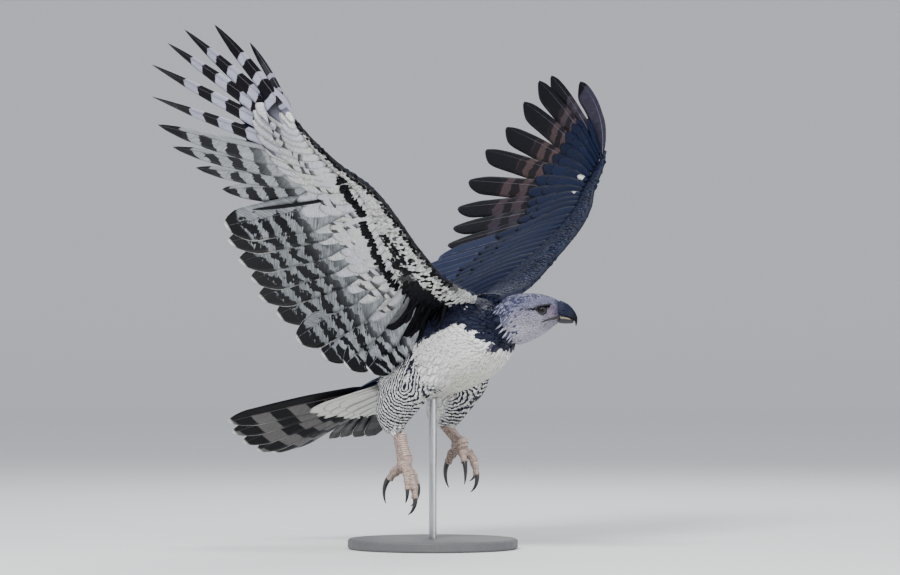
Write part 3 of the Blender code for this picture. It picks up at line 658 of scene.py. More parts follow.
def shelves(sizes, width):
    """Where rectangles go when they fill shelves of a given width, and the height they need."""
    places, x, y, tallest = np.zeros((len(sizes), 2)), 0.0, 0.0, 0.0
    for index in np.argsort(-sizes[:, 1]):
        if x + sizes[index, 0] > width:
            x, y, tallest = 0.0, y + tallest, 0.0
        places[index] = (x, y)
        x += sizes[index, 0]
        tallest = max(tallest, sizes[index, 1])
    return places, y + tallest


CENTRES = SKIN_CORNERS.mean(1)
FACE_PART = nearest_ring(CENTRES)[0]
FACE_ISLAND = FACE_PART * 6 + side_of(SKIN_NORMALS)
island_low = np.full((len(PART_NAMES) * 6, 2), 9.0)
island_high = np.full((len(PART_NAMES) * 6, 2), -9.0)
for corner in range(3):
    flat = flattened(SKIN_CORNERS[:, corner], FACE_ISLAND % 6)
    np.minimum.at(island_low, FACE_ISLAND, flat)
    np.maximum.at(island_high, FACE_ISLAND, flat)
island_size = np.maximum(island_high - island_low, 0) + 0.004
sheet_width = 0.8
while shelves(island_size, sheet_width)[1] > sheet_width:
    sheet_width += 0.02
ISLAND_PLACE = shelves(island_size, sheet_width)[0] + 0.002 - island_low
SHEET_WIDTH = sheet_width


def flat_place(points, islands):
    """The place of points of the skin in its flat map, 0 to 1."""
    return (flattened(points, islands % 6) + ISLAND_PLACE[islands]) / SHEET_WIDTH


print("flat map:", len(island_size), "sides on a sheet", round(SHEET_WIDTH, 2), "m wide")

# %% [markdown]
# ## A feather
# A vane is a grid rolled out along its shaft: closed, thin, with its edges sharp, bent by its own
# curve, wider behind the shaft than in front of it, and cupped. One template serves thousands of
# feathers at once, because numpy places every point of every feather in one sum.
# Across the vane runs u, behind to in front; along it runs s, root to tip.


# %% Template and builder
class Template:
    """A closed thin vane of a few panels, with its widths along the shaft."""

    def __init__(self, across, along, rows, round_from, crowding=1.0):
        u = np.linspace(-1, 1, across + 1)
        s = 1 - (1 - np.linspace(0, 1, along + 1)) ** crowding
        shares, leads, trails = np.array(rows, float).T
        tip = np.sqrt(np.maximum(1 - (np.clip(s - round_from, 0, 1) / (1 - round_from)) ** 2, 0.05))
        self.s, self.u = np.repeat(s, across + 1), np.tile(u, along + 1)
        self.lead = np.repeat(np.interp(s, shares, leads) * tip, across + 1)
        self.trail = np.repeat(np.interp(s, shares, trails) * tip, across + 1)
        inner = [(j, i) for j in range(1, along) for i in range(1, across)]
        under = {spot: len(self.s) + n for n, spot in enumerate(inner)}
        copied = np.array([j * (across + 1) + i for j, i in inner])
        self.pick = np.concatenate([np.arange(len(self.s)), copied])
        self.below = np.concatenate([np.zeros(len(self.s)), np.ones(len(inner))])
        tops, bottoms = [], []
        for j in range(along):
            for i in range(across):
                square = ((j, i), (j, i + 1), (j + 1, i + 1), (j + 1, i))
                tops.append([a * (across + 1) + b for a, b in square])
                bottoms.append([under.get(spot, spot[0] * (across + 1) + spot[1]) for spot in square[::-1]])
        self.faces = np.array(tops + bottoms)
        self.under = np.repeat([0, 1], len(tops))

    def build(self, flock):
        """Points and faces of a whole flock of feathers."""
        s, u = self.s[self.pick], self.u[self.pick]
        count, size = len(flock["root"]), len(s)
        shaft, along, normal = curve_of(flock, s)
        across = unit(np.cross(along, normal)) * flock["sign"][:, None, None]
        turn = (flock["tilt"][:, None] + flock["twist"][:, None] * s**3)[..., None]
        tilted = across * np.cos(turn) + normal * np.sin(turn)
        upright = normal * np.cos(turn) - across * np.sin(turn)
        lead = flock["lead"][:, None] * self.lead[self.pick]
        wide = np.where(u > 0, lead, flock["trail"][:, None] * self.trail[self.pick])
        out = (u * wide)[..., None]
        cup = (flock["cup"][:, None] * u**2 * wide)[..., None]
        swell = np.sin(pi * np.clip(s * 0.9 + 0.08, 0, 1)) ** 0.5
        thick = (self.below * flock["thick"][:, None] * swell)[..., None]
        points = shaft + tilted * out - upright * (cup + thick)
        faces = self.faces[None] + (np.arange(count) * size)[:, None, None]
        mirror = flock["sign"] < 0
        faces[mirror] = faces[mirror][:, :, ::-1]
        vane = np.broadcast_to(np.stack([(u + 1) / 2, s], -1), (count, size, 2))
        under = np.broadcast_to(self.under, (count, len(self.under)))
        return points, faces, vane, under


def curve_of(flock, s):
    """Points, directions and normals along the shafts of a flock, each through its root, middle and tip."""
    root, mid, tip = (flock[key][:, None] for key in ("root", "mid", "tip"))
    s = s[None, :, None]
    bend = 2 * mid - (root + tip) / 2
    points = root * (1 - s) ** 2 + bend * 2 * s * (1 - s) + tip * s**2
    along = unit(2 * (1 - s) * (bend - root) + 2 * s * (tip - bend))
    normal = flock["normal"][:, None] * (1 - s) + flock["tip_normal"][:, None] * s
    return points, along, unit(normal - along * dot(normal, along))


class Quill:
    """A thin tapering rod along the shaft, that shows above and below the vane."""

    def __init__(self, rows, width):
        self.rows, self.width = rows, width

    def build(self, flock):
        s = np.linspace(0, 0.97, self.rows)
        count, size = len(flock["root"]), self.rows * 4
        shaft, along, normal = curve_of(flock, s)
        across = unit(np.cross(along, normal))
        radius = (self.width * (1 - 0.85 * s))[None, :, None]
        deep = radius * 1.1 + flock["thick"][:, None, None] * 0.6
        middle = shaft - normal * flock["thick"][:, None, None] * 0.5
        sides = (across * radius, normal * deep)
        ring = [middle + sides[0], middle + sides[1], middle - sides[0], middle - sides[1]]
        points = np.stack(ring, 2).reshape(count, -1, 3)
        faces = [
            [j * 4 + (k + 1) % 4, j * 4 + k, j * 4 + 4 + k, j * 4 + 4 + (k + 1) % 4]
            for j in range(self.rows - 1) for k in range(4)
        ]
        faces += [[3, 2, 1, 0], [size - 4 + k for k in range(4)]]
        faces = np.array(faces)[None, :, ::-1] + (np.arange(count) * size)[:, None, None]
        vane = np.broadcast_to(np.stack([np.full(size, 0.5), np.repeat(s, 4)], -1), (count, size, 2))
        under = np.array([1 if n % 4 in (1, 2) else 0 for n in range(faces.shape[1])])
        return points, faces, vane, np.broadcast_to(under, faces.shape[:2])


# What a feather is like when nothing else is said; none means the same as another fact of it
PLAIN_FEATHER = {
    "sign": 1.0, "tilt": 0.0, "twist": 0.0, "cup": 0.12, "thick": 0.0006,
    "tint": (0.5, 0.5, 0.5), "under_tint": None, "edge": None, "under_edge": None, "dark": (0.01, 0.01, 0.02),
    "bars": (0.0, 2.0, 0.0), "under_bars": None, "habit": (0.0, 0.0, 0.0), "under_habit": None,
    "reach": (0.2, 1.0, 0.0), "under_reach": None,
}
SAME_AS = {
    "under_tint": "tint", "edge": "tint", "under_edge": "edge",
    "under_bars": "bars", "under_habit": "habit", "under_reach": "reach",
}
TWO_SIDED_FACTS = ("tint", "edge", "bars", "habit", "reach")


def flock_of(root, mid, tip, normal, lead, trail, **extra):
    """Gathers feathers; what isn't given gets a plain value."""
    count = len(root)
    flock = {"root": root, "mid": mid, "tip": tip, "normal": normal, "tip_normal": normal}
    for key, value in {**PLAIN_FEATHER, **extra, "lead": lead, "trail": trail}.items():
        value = np.asarray(flock[SAME_AS[key]] if value is None else value, float)
        one_each = value.ndim == 2 or (value.ndim and len(value) == count)
        shape = (count, *value.shape[1:]) if one_each else (count, *value.shape)
        flock[key] = np.array(np.broadcast_to(value, shape))
    return flock


class Coat:
    """Feathers of one piece, kept as arrays until they become a mesh."""

    def __init__(self, name):
        self.name = name
        self.points, self.faces, self.vane, self.flat, self.facts = [], [], [], [], []
        self.total = 0

    def add(self, template, flock, islands):
        """Adds a flock; islands are each feather's corners in the flat map, top and under, and their size."""
        points, faces, vane, under = template.build(flock)
        corner_vane = np.take_along_axis(
            np.broadcast_to(vane[:, None], (len(vane), faces.shape[1], *vane.shape[1:])),
            (faces - faces.min((1, 2), keepdims=True))[..., None].repeat(2, -1), 2)
        top, below, size = (np.asarray(part)[:, None, None] for part in islands)
        where = np.where(under[..., None, None] > 0, below, top)
        self.flat.append((where + corner_vane * size).reshape(-1, 2))
        self.points.append(points.reshape(-1, 3))
        self.faces.append(faces.reshape(-1, 4) + self.total)
        self.vane.append(corner_vane.reshape(-1, 2))
        facts_here = {"dark": np.broadcast_to(flock["dark"][:, None], (*under.shape, 3)).reshape(-1, 3)}
        for name in TWO_SIDED_FACTS:
            both = np.where(under[..., None] > 0, flock["under_" + name][:, None], flock[name][:, None])
            facts_here[name] = both.reshape(-1, 3)
        self.facts.append(facts_here)
        self.total += len(self.points[-1])

    def surface(self):
        return np.concatenate(self.points), np.concatenate(self.faces)

    def finish(self, material, slot, *nodes):
        points, faces = self.surface()
        points, faces = carried(points, BIRD_POSE), faces.astype(np.int32)
        mesh = bpy.data.meshes.new(self.name)
        mesh.vertices.add(len(points))
        mesh.vertices.foreach_set("co", points.astype(np.float32).ravel())
        mesh.loops.add(faces.size)
        mesh.loops.foreach_set("vertex_index", faces.ravel())
        mesh.polygons.add(len(faces))
        mesh.polygons.foreach_set("loop_start", np.arange(len(faces), dtype=np.int32) * 4)
        for name, rows in (("Vane", self.vane), ("OFBake", self.flat)):
            layer = mesh.uv_layers.new(name=name)
            layer.data.foreach_set("uv", np.concatenate(rows).astype(np.float32).ravel())
        for name in (*TWO_SIDED_FACTS, "dark"):
            layer = mesh.attributes.new(name, "FLOAT_VECTOR", "FACE")
            rows = np.concatenate([facts_here[name] for facts_here in self.facts])
            layer.data.foreach_set("vector", rows.astype(np.float32).ravel())
        mesh.update(calc_edges=True)
        mesh.validate()
        return finished(self.name, mesh, material, slot, *nodes)


# The flat map of small feathers: width of a patch, width of its cell, cells on a side, edge of a cell
PATCH, CELL, CELLS, CELL_EDGE = 0.003, 0.0035, 284, 0.00025


def small_patches(spots):
    """A free patch as near as may be to each flat place."""
    taken, patches = set(), []
    for x, y in spots:
        column, row = int(np.clip(x / CELL, 0, CELLS - 1)), int(np.clip(y / CELL, 0, CELLS - 1))
        for reach in range(CELLS):
            steps = range(-reach, reach + 1)
            ring = [(column + a, row + b) for a in steps for b in steps if max(abs(a), abs(b)) == reach]
            free = [spot for spot in ring if min(spot) >= 0 and max(spot) < CELLS and spot not in taken]
            if free:
                break
        taken.add(free[0])
        patches.append((free[0][0] * CELL + CELL_EDGE, free[0][1] * CELL + CELL_EDGE))
    patches = np.array(patches)
    return patches, patches, np.full((len(patches), 2), PATCH)


def quill_patches(patch):
    """Patches for the tops of quills, and others for their undersides."""
    return patch, patch + (0, 0.01), np.full((len(patch), 2), PATCH)


def large_islands(count, columns, corner, width, height):
    """A block of islands, tops on one shelf and undersides on the next."""
    index = np.arange(count)
    x = corner[0] + (index % columns) * width
    y = corner[1] + (index // columns) * 2 * height
    size = np.broadcast_to((width * 0.9, height * 0.96), (count, 2))
    return np.stack([x, y], 1), np.stack([x, y + height], 1), size


BROAD = ((0, 0.35, 0.15), (0.10, 0.8, 0.5), (0.42, 1, 1), (0.86, 0.96, 0.92), (1, 0.75, 0.75))
FINGER = (
    (0, 0.4, 0.15), (0.12, 0.8, 0.6), (0.30, 1, 1), (0.38, 0.97, 0.94), (0.47, 0.82, 0.72),
    (0.66, 0.82, 0.70), (0.82, 0.78, 0.68), (0.93, 0.68, 0.62), (1, 0.5, 0.45),
)
NARROW = (
    (0, 0.4, 0.2), (0.10, 0.8, 0.7), (0.20, 1, 1), (0.27, 0.95, 0.95), (0.34, 0.64, 0.58),
    (0.62, 0.60, 0.52), (0.78, 0.52, 0.46), (0.90, 0.38, 0.32), (0.96, 0.23, 0.19), (1, 0.06, 0.05),
)
TAPERED = (
    (0, 0.35, 0.15), (0.10, 0.8, 0.5), (0.42, 1, 1), (0.70, 0.92, 0.9),
    (0.86, 0.66, 0.64), (0.95, 0.36, 0.34), (1, 0.1, 0.1),
)
ROUND = ((0, 0.35, 0.35), (0.35, 0.85, 0.85), (0.65, 1, 1), (1, 0.9, 0.9))
BROAD_FEATHER = Template(8, 28, BROAD, 0.82, 1.8)
FINGER_FEATHER = Template(8, 28, FINGER, 0.86, 1.3)
NARROW_FEATHER = Template(8, 28, NARROW, 0.97, 1.1)
TAPERED_FEATHER = Template(8, 24, TAPERED, 0.96, 1.3)
MIDDLE_FEATHER = Template(4, 8, ROUND, 0.70, 1.2)
SMALL_FEATHER = Template(2, 4, ROUND, 0.60, 1.1)
print("panels of a large feather:", len(BROAD_FEATHER.faces), "and of a small one:", len(SMALL_FEATHER.faces))

# %% [markdown]
# ## Flight feathers
# The outline of the wing is the line of the feathers' tips. Ten primaries spread from the hand, each
# with its tip where the photo shows it; ten secondaries follow from the wrist to the body.
# Each vane is turned a little about its shaft, so that the neighbours overlap like the slats of a
# blind, and the outer primaries are cut in beyond their middles, like fingers.
# %% Colours and the feathers' bars
NAVY, DEEP_NAVY, BLACK = (0.011, 0.018, 0.050), (0.005, 0.008, 0.022), (0.003, 0.003, 0.005)
SILVER, PALE_GREY = (0.21, 0.23, 0.26), (0.36, 0.375, 0.39)
CREAM, WHITE, LILAC = (0.60, 0.60, 0.56), (0.82, 0.81, 0.79), (0.42, 0.42, 0.52)
BAR_BROWN, TAIL_GREY = (0.060, 0.038, 0.038), (0.115, 0.110, 0.108)
SECONDARY_OUTLINE = (
    (-0.294, 0.375, 0.366), (-0.330, 0.328, 0.346), (-0.371, 0.277, 0.314), (-0.403, 0.225, 0.282),
    (-0.417, 0.179, 0.250), (-0.419, 0.136, 0.206), (-0.402, 0.115, 0.138), (-0.357, 0.105, 0.071),
    (-0.299, 0.103, 0.020), (-0.235, 0.106, -0.020),
)
PRIMARY_TIPS = (
    (-0.241, 0.412, 0.433), (-0.256, 0.463, 0.492), (-0.257, 0.520, 0.542), (-0.232, 0.576, 0.583),
    (-0.185, 0.624, 0.629), (-0.131, 0.654, 0.682), (-0.060, 0.661, 0.701), (-0.004, 0.656, 0.708),
    (0.074, 0.642, 0.683), (0.111, 0.585, 0.625),
)
# The left wing is held a little lower: how far forward and up its tips lie from where the right one's are
LEFT_TIP_SHIFTS = (
    (-0.055, -0.069), (-0.047, -0.075), (-0.058, -0.062), (-0.068, -0.032), (-0.072, -0.010),
    (-0.067, -0.027), (-0.067, -0.009), (-0.055, 0.009), (-0.082, 0.022), (0.0, 0.0),
)
LEFT_EDGE_SHIFT = (-0.014, -0.034)
SECONDARIES, PRIMARIES, FINGERS = 10, 10, 6
ROOT_DEPTH = 0.68
# How far the middle of a flight feather's shaft hangs below the line from its root to its tip
BOW = 0.006


def blend(first, second, share):
    """Between two colours, or rows of them, for each share."""
    share = np.clip(np.asarray(share, float), 0, 1)[:, None]
    return np.asarray(first, float) * (1 - share) + np.asarray(second, float) * share


def smoothstep(value, start, end):
    t = np.clip((np.asarray(value, float) - start) / (end - start), 0, 1)
    return t * t * (3 - 2 * t)


def outward_across(roots, tips):
    """The way from each feather's inner neighbour to its outer one."""
    middles = roots * 0.4 + tips * 0.6
    numbers = np.arange(len(middles))
    return middles[np.minimum(numbers + 1, numbers[-1])] - middles[np.maximum(numbers - 1, 0)]


def leading_sign(root, tip, normal, outward):
    """Which way round the feathers' leading side lies: 1 or -1."""
    return np.where(dot(np.cross(tip - root, normal), outward)[:, 0] > 0, 1.0, -1.0)


class Fan:
    """The flight feathers of a wing from the innermost secondary to the outermost primary."""

    def __init__(self, wing):
        self.wing = wing
        side = wing.side
        outline = [wing.spot(point) for point in SECONDARY_OUTLINE]
        tips = smooth_curve(outline, np.linspace(1, 0, SECONDARIES))
        seats = WRIST * (0.10 + 0.84 * np.linspace(0, 1, SECONDARIES))
        hand_seats = WRIST + (1 - WRIST) * (0.07 + 0.86 * np.linspace(0, 1, PRIMARIES))
        self.seats = np.concatenate([seats, hand_seats])
        self.tips = np.concatenate([tips, [wing.spot(point) for point in PRIMARY_TIPS]])
        if side == LEFT:
            shifts = [LEFT_EDGE_SHIFT] * SECONDARIES + list(LEFT_TIP_SHIFTS)
            self.tips += [at(forward, 0, up) for forward, up in shifts]
        front, back, _, _ = wing.station(self.seats)
        self.roots = front + (back - front) * ROOT_DEPTH
        self.outward = outward_across(self.roots, self.tips)
        normals = unit(np.cross(self.tips - self.roots, self.outward))
        up = np.array(at(0.15, -0.7 * side, 0.65))
        self.normals = normals * np.where(dot(normals, up) < 0, -1.0, 1.0)
        if side == LEFT:
            self.normals[-1] = self.normals[-3]
            self.outward[-1] = self.outward[-3]

    def between(self, places):
        """Roots, tips, normals and outward sides at places between the feathers."""
        numbers = np.arange(len(self.seats))

        def read(values):
            return np.stack([np.interp(places, numbers, values[:, k]) for k in range(3)], 1)

        return read(self.roots), read(self.tips), unit(read(self.normals)), read(self.outward)


def flight_flock(fan, chosen, lead, trail, tilt, twist, sweep, **looks):
    """Some of a fan's feathers, each bowed down and swept outwards."""
    root, tip, normal, outward = fan.roots[chosen], fan.tips[chosen], fan.normals[chosen], fan.outward[chosen]
    sweep = np.broadcast_to(sweep, (len(chosen),))[:, None]
    along = unit(tip - root)
    mid = (root + tip) / 2 - normal * BOW + unit(outward - dot(outward, along) * along) * sweep
    looks.update(sign=leading_sign(root, tip, normal, outward), tilt=tilt, twist=twist, thick=0.0009, cup=0.05)
    return flock_of(root, mid, tip, normal, lead, trail, **looks)


def facts(count, *values):
    """A row of three facts for each feather, from numbers or from rows of numbers."""
    return np.stack([np.broadcast_to(np.asarray(value, float), (count,)) for value in values], 1)


def plain(flock, top, below):
    """The same flock in plain colours, without bars."""
    nothing = facts(len(flock["root"]), 0, 2, 0)
    rods = {**flock, "bars": nothing, "under_bars": nothing}
    rods["tint"] = rods["edge"] = nothing * 0 + top
    rods["under_tint"] = rods["under_edge"] = nothing * 0 + below
    return rods


# Near wing: pointed fingers seen half edge on. Far wing: broad ones that turn their backs to the view.
# Each list runs from the innermost finger to the outermost.
FINGER_LOOKS = {
    "left": {
        "turn": 8, "twists": (-6, -6, -6, -6, -6, 0), "lead": 0.012, "trail": 0.048,
        "widths": (1.22, 1.22, 1.22, 1.22, 1.22 * 1.05, 1.22 * 1.05), "last_sweep": 0.022,
    },
    "right": {
        "turn": 6, "twists": (-40, -40, -38, -37, -44, -72), "lead": 0.019, "trail": 0.042,
        "widths": (1, 1, 1, 1, 0.9, 0.5), "last_sweep": 0.006,
    },
}
FINGER_GREY, UNDER_FINGER_GREY = (0.036, 0.034, 0.055), (0.05, 0.055, 0.08)
FINGER_BLACK = (0.005, 0.0045, 0.007)
QUILL_WIDTH, FINGER_QUILL_WIDTH = 0.0015, 0.0011
UPPER_QUILL, FINGER_QUILL, UNDER_QUILL = (0.42, 0.42, 0.55), (0.16, 0.15, 0.21), (0.13, 0.12, 0.13)
# Width and height of a flight feather's island in the flat map, and the row of the primaries
ISLAND, ISLAND_TALL, PRIMARY_ROW = 1 / 15, 0.24, 0.48


def flight_feathers(name, fan):
    """Secondaries, inner primaries and fingers of one wing, with their quills."""
    coat = Coat("flight_feathers_" + name)
    near = name == "right"
    count = SECONDARIES
    secondary = np.arange(count)
    chance = RANDOM.random((4, count))
    secondaries = flight_flock(
        fan, secondary, 0.028 + 0.012 * (secondary == count - 1), 0.058, radians(6), 0.0, 0.004,
        tint=NAVY, edge=(0.07, 0.08, 0.13),
        under_tint=blend((0.20, 0.22, 0.23), PALE_GREY, 0.1 + 0.5 * chance[0]), under_edge=WHITE,
        dark=BLACK, bars=facts(count, 5, 2, 0), under_bars=facts(count, 8.4, 0.85 + 0.03 * chance[1], 1.0),
        habit=facts(count, 0.8, 0.5, chance[2]), under_habit=facts(count, 1.5, 1.0, chance[2]),
        under_reach=facts(count, 0.36, 0.46 + 0.12 * chance[3], 0.35 * chance[0]),
    )
    secondaries["tip"] += (secondaries["tip"] - secondaries["root"]) * (chance[3][:, None] - 0.5) * 0.05
    count = PRIMARIES - FINGERS
    inner = SECONDARIES + np.arange(count)
    inner_primaries = flight_flock(
        fan, inner, 0.018, 0.042, radians(6), radians(-6), 0.006,
        tint=blend(DEEP_NAVY, BAR_BROWN, [0.2, 0.4, 0.6, 0.8]), edge=(0.06, 0.06, 0.09),
        under_tint=PALE_GREY, under_edge=SILVER, dark=BLACK,
        bars=facts(count, 7, 0.74, 0.9), under_bars=facts(count, 6.6, [0.93, 0.89, 0.87, 0.86], 0.97),
        habit=facts(count, 0.8, 0.2, RANDOM.random(count)),
        under_habit=facts(count, 0.7, 0.2, RANDOM.random(count)),
        under_reach=facts(count, 0.34, [0.56, 0.50, 0.48, 0.52], [0.1, 0.35, 0.2, 0.5]),
    )
    count = FINGERS
    finger = SECONDARIES + PRIMARIES - count + np.arange(count)
    looks = FINGER_LOOKS[name]
    widths = np.array(looks["widths"])
    fingers = flight_flock(
        fan, finger, looks["lead"] * widths, looks["trail"] * widths,
        radians(looks["turn"]), np.radians(looks["twists"]),
        np.array([0.008, 0.009, 0.010, 0.010, 0.010, looks["last_sweep"]]),
        tint=blend(BAR_BROWN, FINGER_GREY, [0.0, 0.0, 0.1, 0.3, 0.6, 0.95]), edge=BLACK,
        under_tint=blend(LILAC, UNDER_FINGER_GREY, [0.0, 0.0, 0.05, 0.15, 0.25, 0.5]), under_edge=BLACK,
        dark=FINGER_BLACK,
        bars=facts(count, 8, [0.68, 0.68, 0.66, 0.66, 0.70, 0.90], [0.9, 0.9, 0.9, 0.8, 0.5, 0.1]),
        under_bars=facts(
            count, [6.0, 5.8, 5.6, 5.6, 5.2, 5.6], [0.84, 0.83, 0.84, 0.80, 0.72, 0.70],
            [1, 1, 1.1, 1.2, 1.45, 1.6],
        ),
        habit=facts(count, 0.6, 0.3, RANDOM.random(count)),
        under_habit=facts(count, 0.15, 0.8, RANDOM.random(count)),
        under_reach=facts(count, [0.20, 0.20, 0.16, 0.12, 0.1, 0.1], 1.0, [0.35, 0.35, 0.30, 0.45, 0.25, 0.6]),
    )
    for template, flock, corner, patch, quill, quill_tint in (
        (BROAD_FEATHER, secondaries, (0.0, 0.0), (0.85, 0.10), QUILL_WIDTH, UPPER_QUILL),
        (TAPERED_FEATHER if near else BROAD_FEATHER, inner_primaries,
         (0.0, PRIMARY_ROW), (0.85, 0.20), QUILL_WIDTH, UPPER_QUILL),
        (NARROW_FEATHER if near else FINGER_FEATHER, fingers,
         (5 * ISLAND, PRIMARY_ROW), (0.85, 0.30), FINGER_QUILL_WIDTH, FINGER_QUILL),
    ):
        count = len(flock["root"])
        coat.add(template, flock, large_islands(count, count, corner, ISLAND, ISLAND_TALL))
        patch = np.array(patch) + np.stack([np.arange(count) * 0.004, np.zeros(count)], 1)
        coat.add(Quill(12, quill), plain(flock, quill_tint, UNDER_QUILL), quill_patches(patch))
    return coat


# %% Wing coverts
# Rows above the wing: reach along the flight feathers, lift over them, width and share of darkness
UPPER_COVERTS = ((0.58, 0.0055, 0.021, 0.2), (0.45, 0.0085, 0.020, 0.0), (0.32, 0.0105, 0.018, 0.1))
# Rows below it: reach, lift, which is less than nothing, and width
UNDER_COVERTS = ((0.42, -0.0045, 0.024), (0.30, -0.0075, 0.021), (0.20, -0.0100, 0.018))
COVERT_COLUMNS = 38


def covert_flock(
    fan, places, reach, lift, lead, trail, tilt, jitter=0.03, reach_of_bars=(0.2, 1.0, 0.0), **looks
):
    """Coverts that follow the flight feathers, above them for a lift over nothing, or else below."""
    root, tip, normal, outward = fan.between(np.asarray(places, float))
    count = len(root)
    reach = (np.broadcast_to(reach, (count,)) * (1 + jitter * (RANDOM.random(count) - 0.5)))[:, None]
    lift = np.broadcast_to(lift, (count,))[:, None]
    begin = root + normal * lift * 0.5
    end = root + (tip - root) * reach + normal * (lift * 0.8 - BOW * 4 * reach * (1 - reach))
    mid = root + (tip - root) * reach / 2 + normal * (lift * 1.1 - BOW * reach * (2 - reach))
    face = normal * np.sign(lift)
    looks.update(sign=leading_sign(root, tip, face, outward), tilt=-tilt if lift[0, 0] < 0 else tilt)
    return flock_of(begin, mid, end, face, lead, trail, cup=0.10, reach=reach_of_bars, **looks)


def wing_coverts(name, fan):
    """Three rows of coverts above the wing, three below it and a black one below the wrist."""
    coat = Coat("wing_coverts_" + name)
    last_secondary, last = SECONDARIES - 1, SECONDARIES + PRIMARIES - 1
    rows = []
    arm = np.linspace(0.0, last_secondary + 0.5, 19)
    hand = np.linspace(SECONDARIES - 0.3, last - 0.3, 13)
    for reach, lift, wide, shade in UPPER_COVERTS:
        for places, short, narrow in ((arm, 1.0, 1.0), (hand, 0.80, 0.9)):
            count = len(places)
            slim = narrow * (1 - 0.5 * smoothstep(places, last - 2.0, last - 0.3))
            tint = blend((0.0065, 0.012, 0.038), (0.004, 0.007, 0.021), shade + 0.5 * RANDOM.random(count))
            rows.append(covert_flock(
                fan, places, reach * short, lift, wide * slim, wide * 1.4 * slim, radians(3), jitter=0.10,
                tint=tint, edge=tint * 1.1, habit=facts(count, 0.8, 0.2, RANDOM.random(count)),
            ))
    for reach, lift, wide in UNDER_COVERTS:
        for places, short, narrow in ((arm, 1.0, 1.0), (hand, 0.84, 0.85)):
            count = len(places)
            tint = blend(CREAM, (0.56, 0.57, 0.62), RANDOM.random(count))
            tint = blend(tint, BLACK, smoothstep(-places, -2.4, -1.2))
            spotted = 0.9 * (RANDOM.random(count) < 0.3) * (reach < 0.4) * (places < last - 2)
            slim = narrow * (1 - 0.65 * smoothstep(places, last - 2.5, last - 0.5))
            deeper = 0.003 * smoothstep(places, last_secondary, last_secondary + 2.0)
            rows.append(covert_flock(
                fan, places, reach * short * slim / narrow, lift - deeper, wide * slim, wide * 1.4 * slim,
                radians(4), jitter=0.12, reach_of_bars=facts(count, 0.5, 0.45, 0.4),
                tint=tint, edge=tint * 0.9, dark=BLACK, bars=facts(count, 3, 2, spotted),
                habit=facts(count, 0.9, 0.3, RANDOM.random(count)),
            ))
    wrist = [last_secondary + 0.40]
    rows.append(covert_flock(fan, wrist, 0.78, -0.0075, 0.004, 0.006, 0.0, tint=BLACK, edge=BLACK))
    width, column, row = 1 / COVERT_COLUMNS, 0, 0
    for flock in rows:
        count = len(flock["root"])
        if column + count > COVERT_COLUMNS:
            column, row = 0, row + 1
        coat.add(MIDDLE_FEATHER, flock, large_islands(count, count, (column * width, row * 0.16), width, 0.078))
        column += count
    return coat


FANS = {name: Fan(wing) for name, wing in WINGS.items()}


# %% [markdown]
# ## The tail
# Twelve long feathers spread like a hand of cards, the middle pair on top. Above their roots lie the
# navy feathers of the rump, and below them the cream ones that cover a third of the tail's underside.
# %% Tail feathers
TAIL_HALF_SPREAD, LEFT_SPREAD = radians(18.0), radians(25.0)
TAIL_OVERLAP, TAIL_GRIP = 0.003, 0.035
# Length and rise of each tail feather from the outermost right one to the outermost left one
TAIL_TIPS = (
    (0.440, 0.085), (0.458, 0.066), (0.458, 0.042), (0.448, 0.018), (0.430, 0.006), (0.405, 0.004),
    (0.385, 0.001), (0.350, 0.010), (0.352, 0.000), (0.350, 0.000), (0.340, -0.008), (0.330, -0.014),
)
RECTRICES = 12
# Rows of tail coverts: height, reach, rise, number, half width, up or down, colour and colour of the edge
TAIL_COVERTS = (
    (-0.006, 0.185, 0.006, 9, 0.023, -1, CREAM, WHITE),
    (-0.018, 0.145, 0.004, 9, 0.022, -1, CREAM, WHITE),
    (-0.028, 0.100, 0.002, 8, 0.020, -1, CREAM, WHITE),
    (0.010, 0.165, -0.002, 8, 0.020, 1, NAVY, (0.30, 0.30, 0.34)),
    (0.020, 0.115, -0.006, 8, 0.019, 1, NAVY, (0.05, 0.06, 0.11)),
    (0.030, 0.070, -0.008, 7, 0.017, 1, NAVY, (0.05, 0.06, 0.11)),
)


def tail_frame(places, spread=1.0):
    """Roots and directions of feathers fanned from the tail's root, at places from -1 to 1."""
    turns = -TAIL_TURN_LEFT - np.where(places > 0, LEFT_SPREAD, TAIL_HALF_SPREAD) * spread * places
    away = np.stack([-np.sin(turns), np.cos(turns), np.zeros(len(places))], 1)
    root = np.array(at(*TAIL_ROOT)) + away * TAIL_GRIP
    root[:, 0] += 0.030 * places
    return root, away


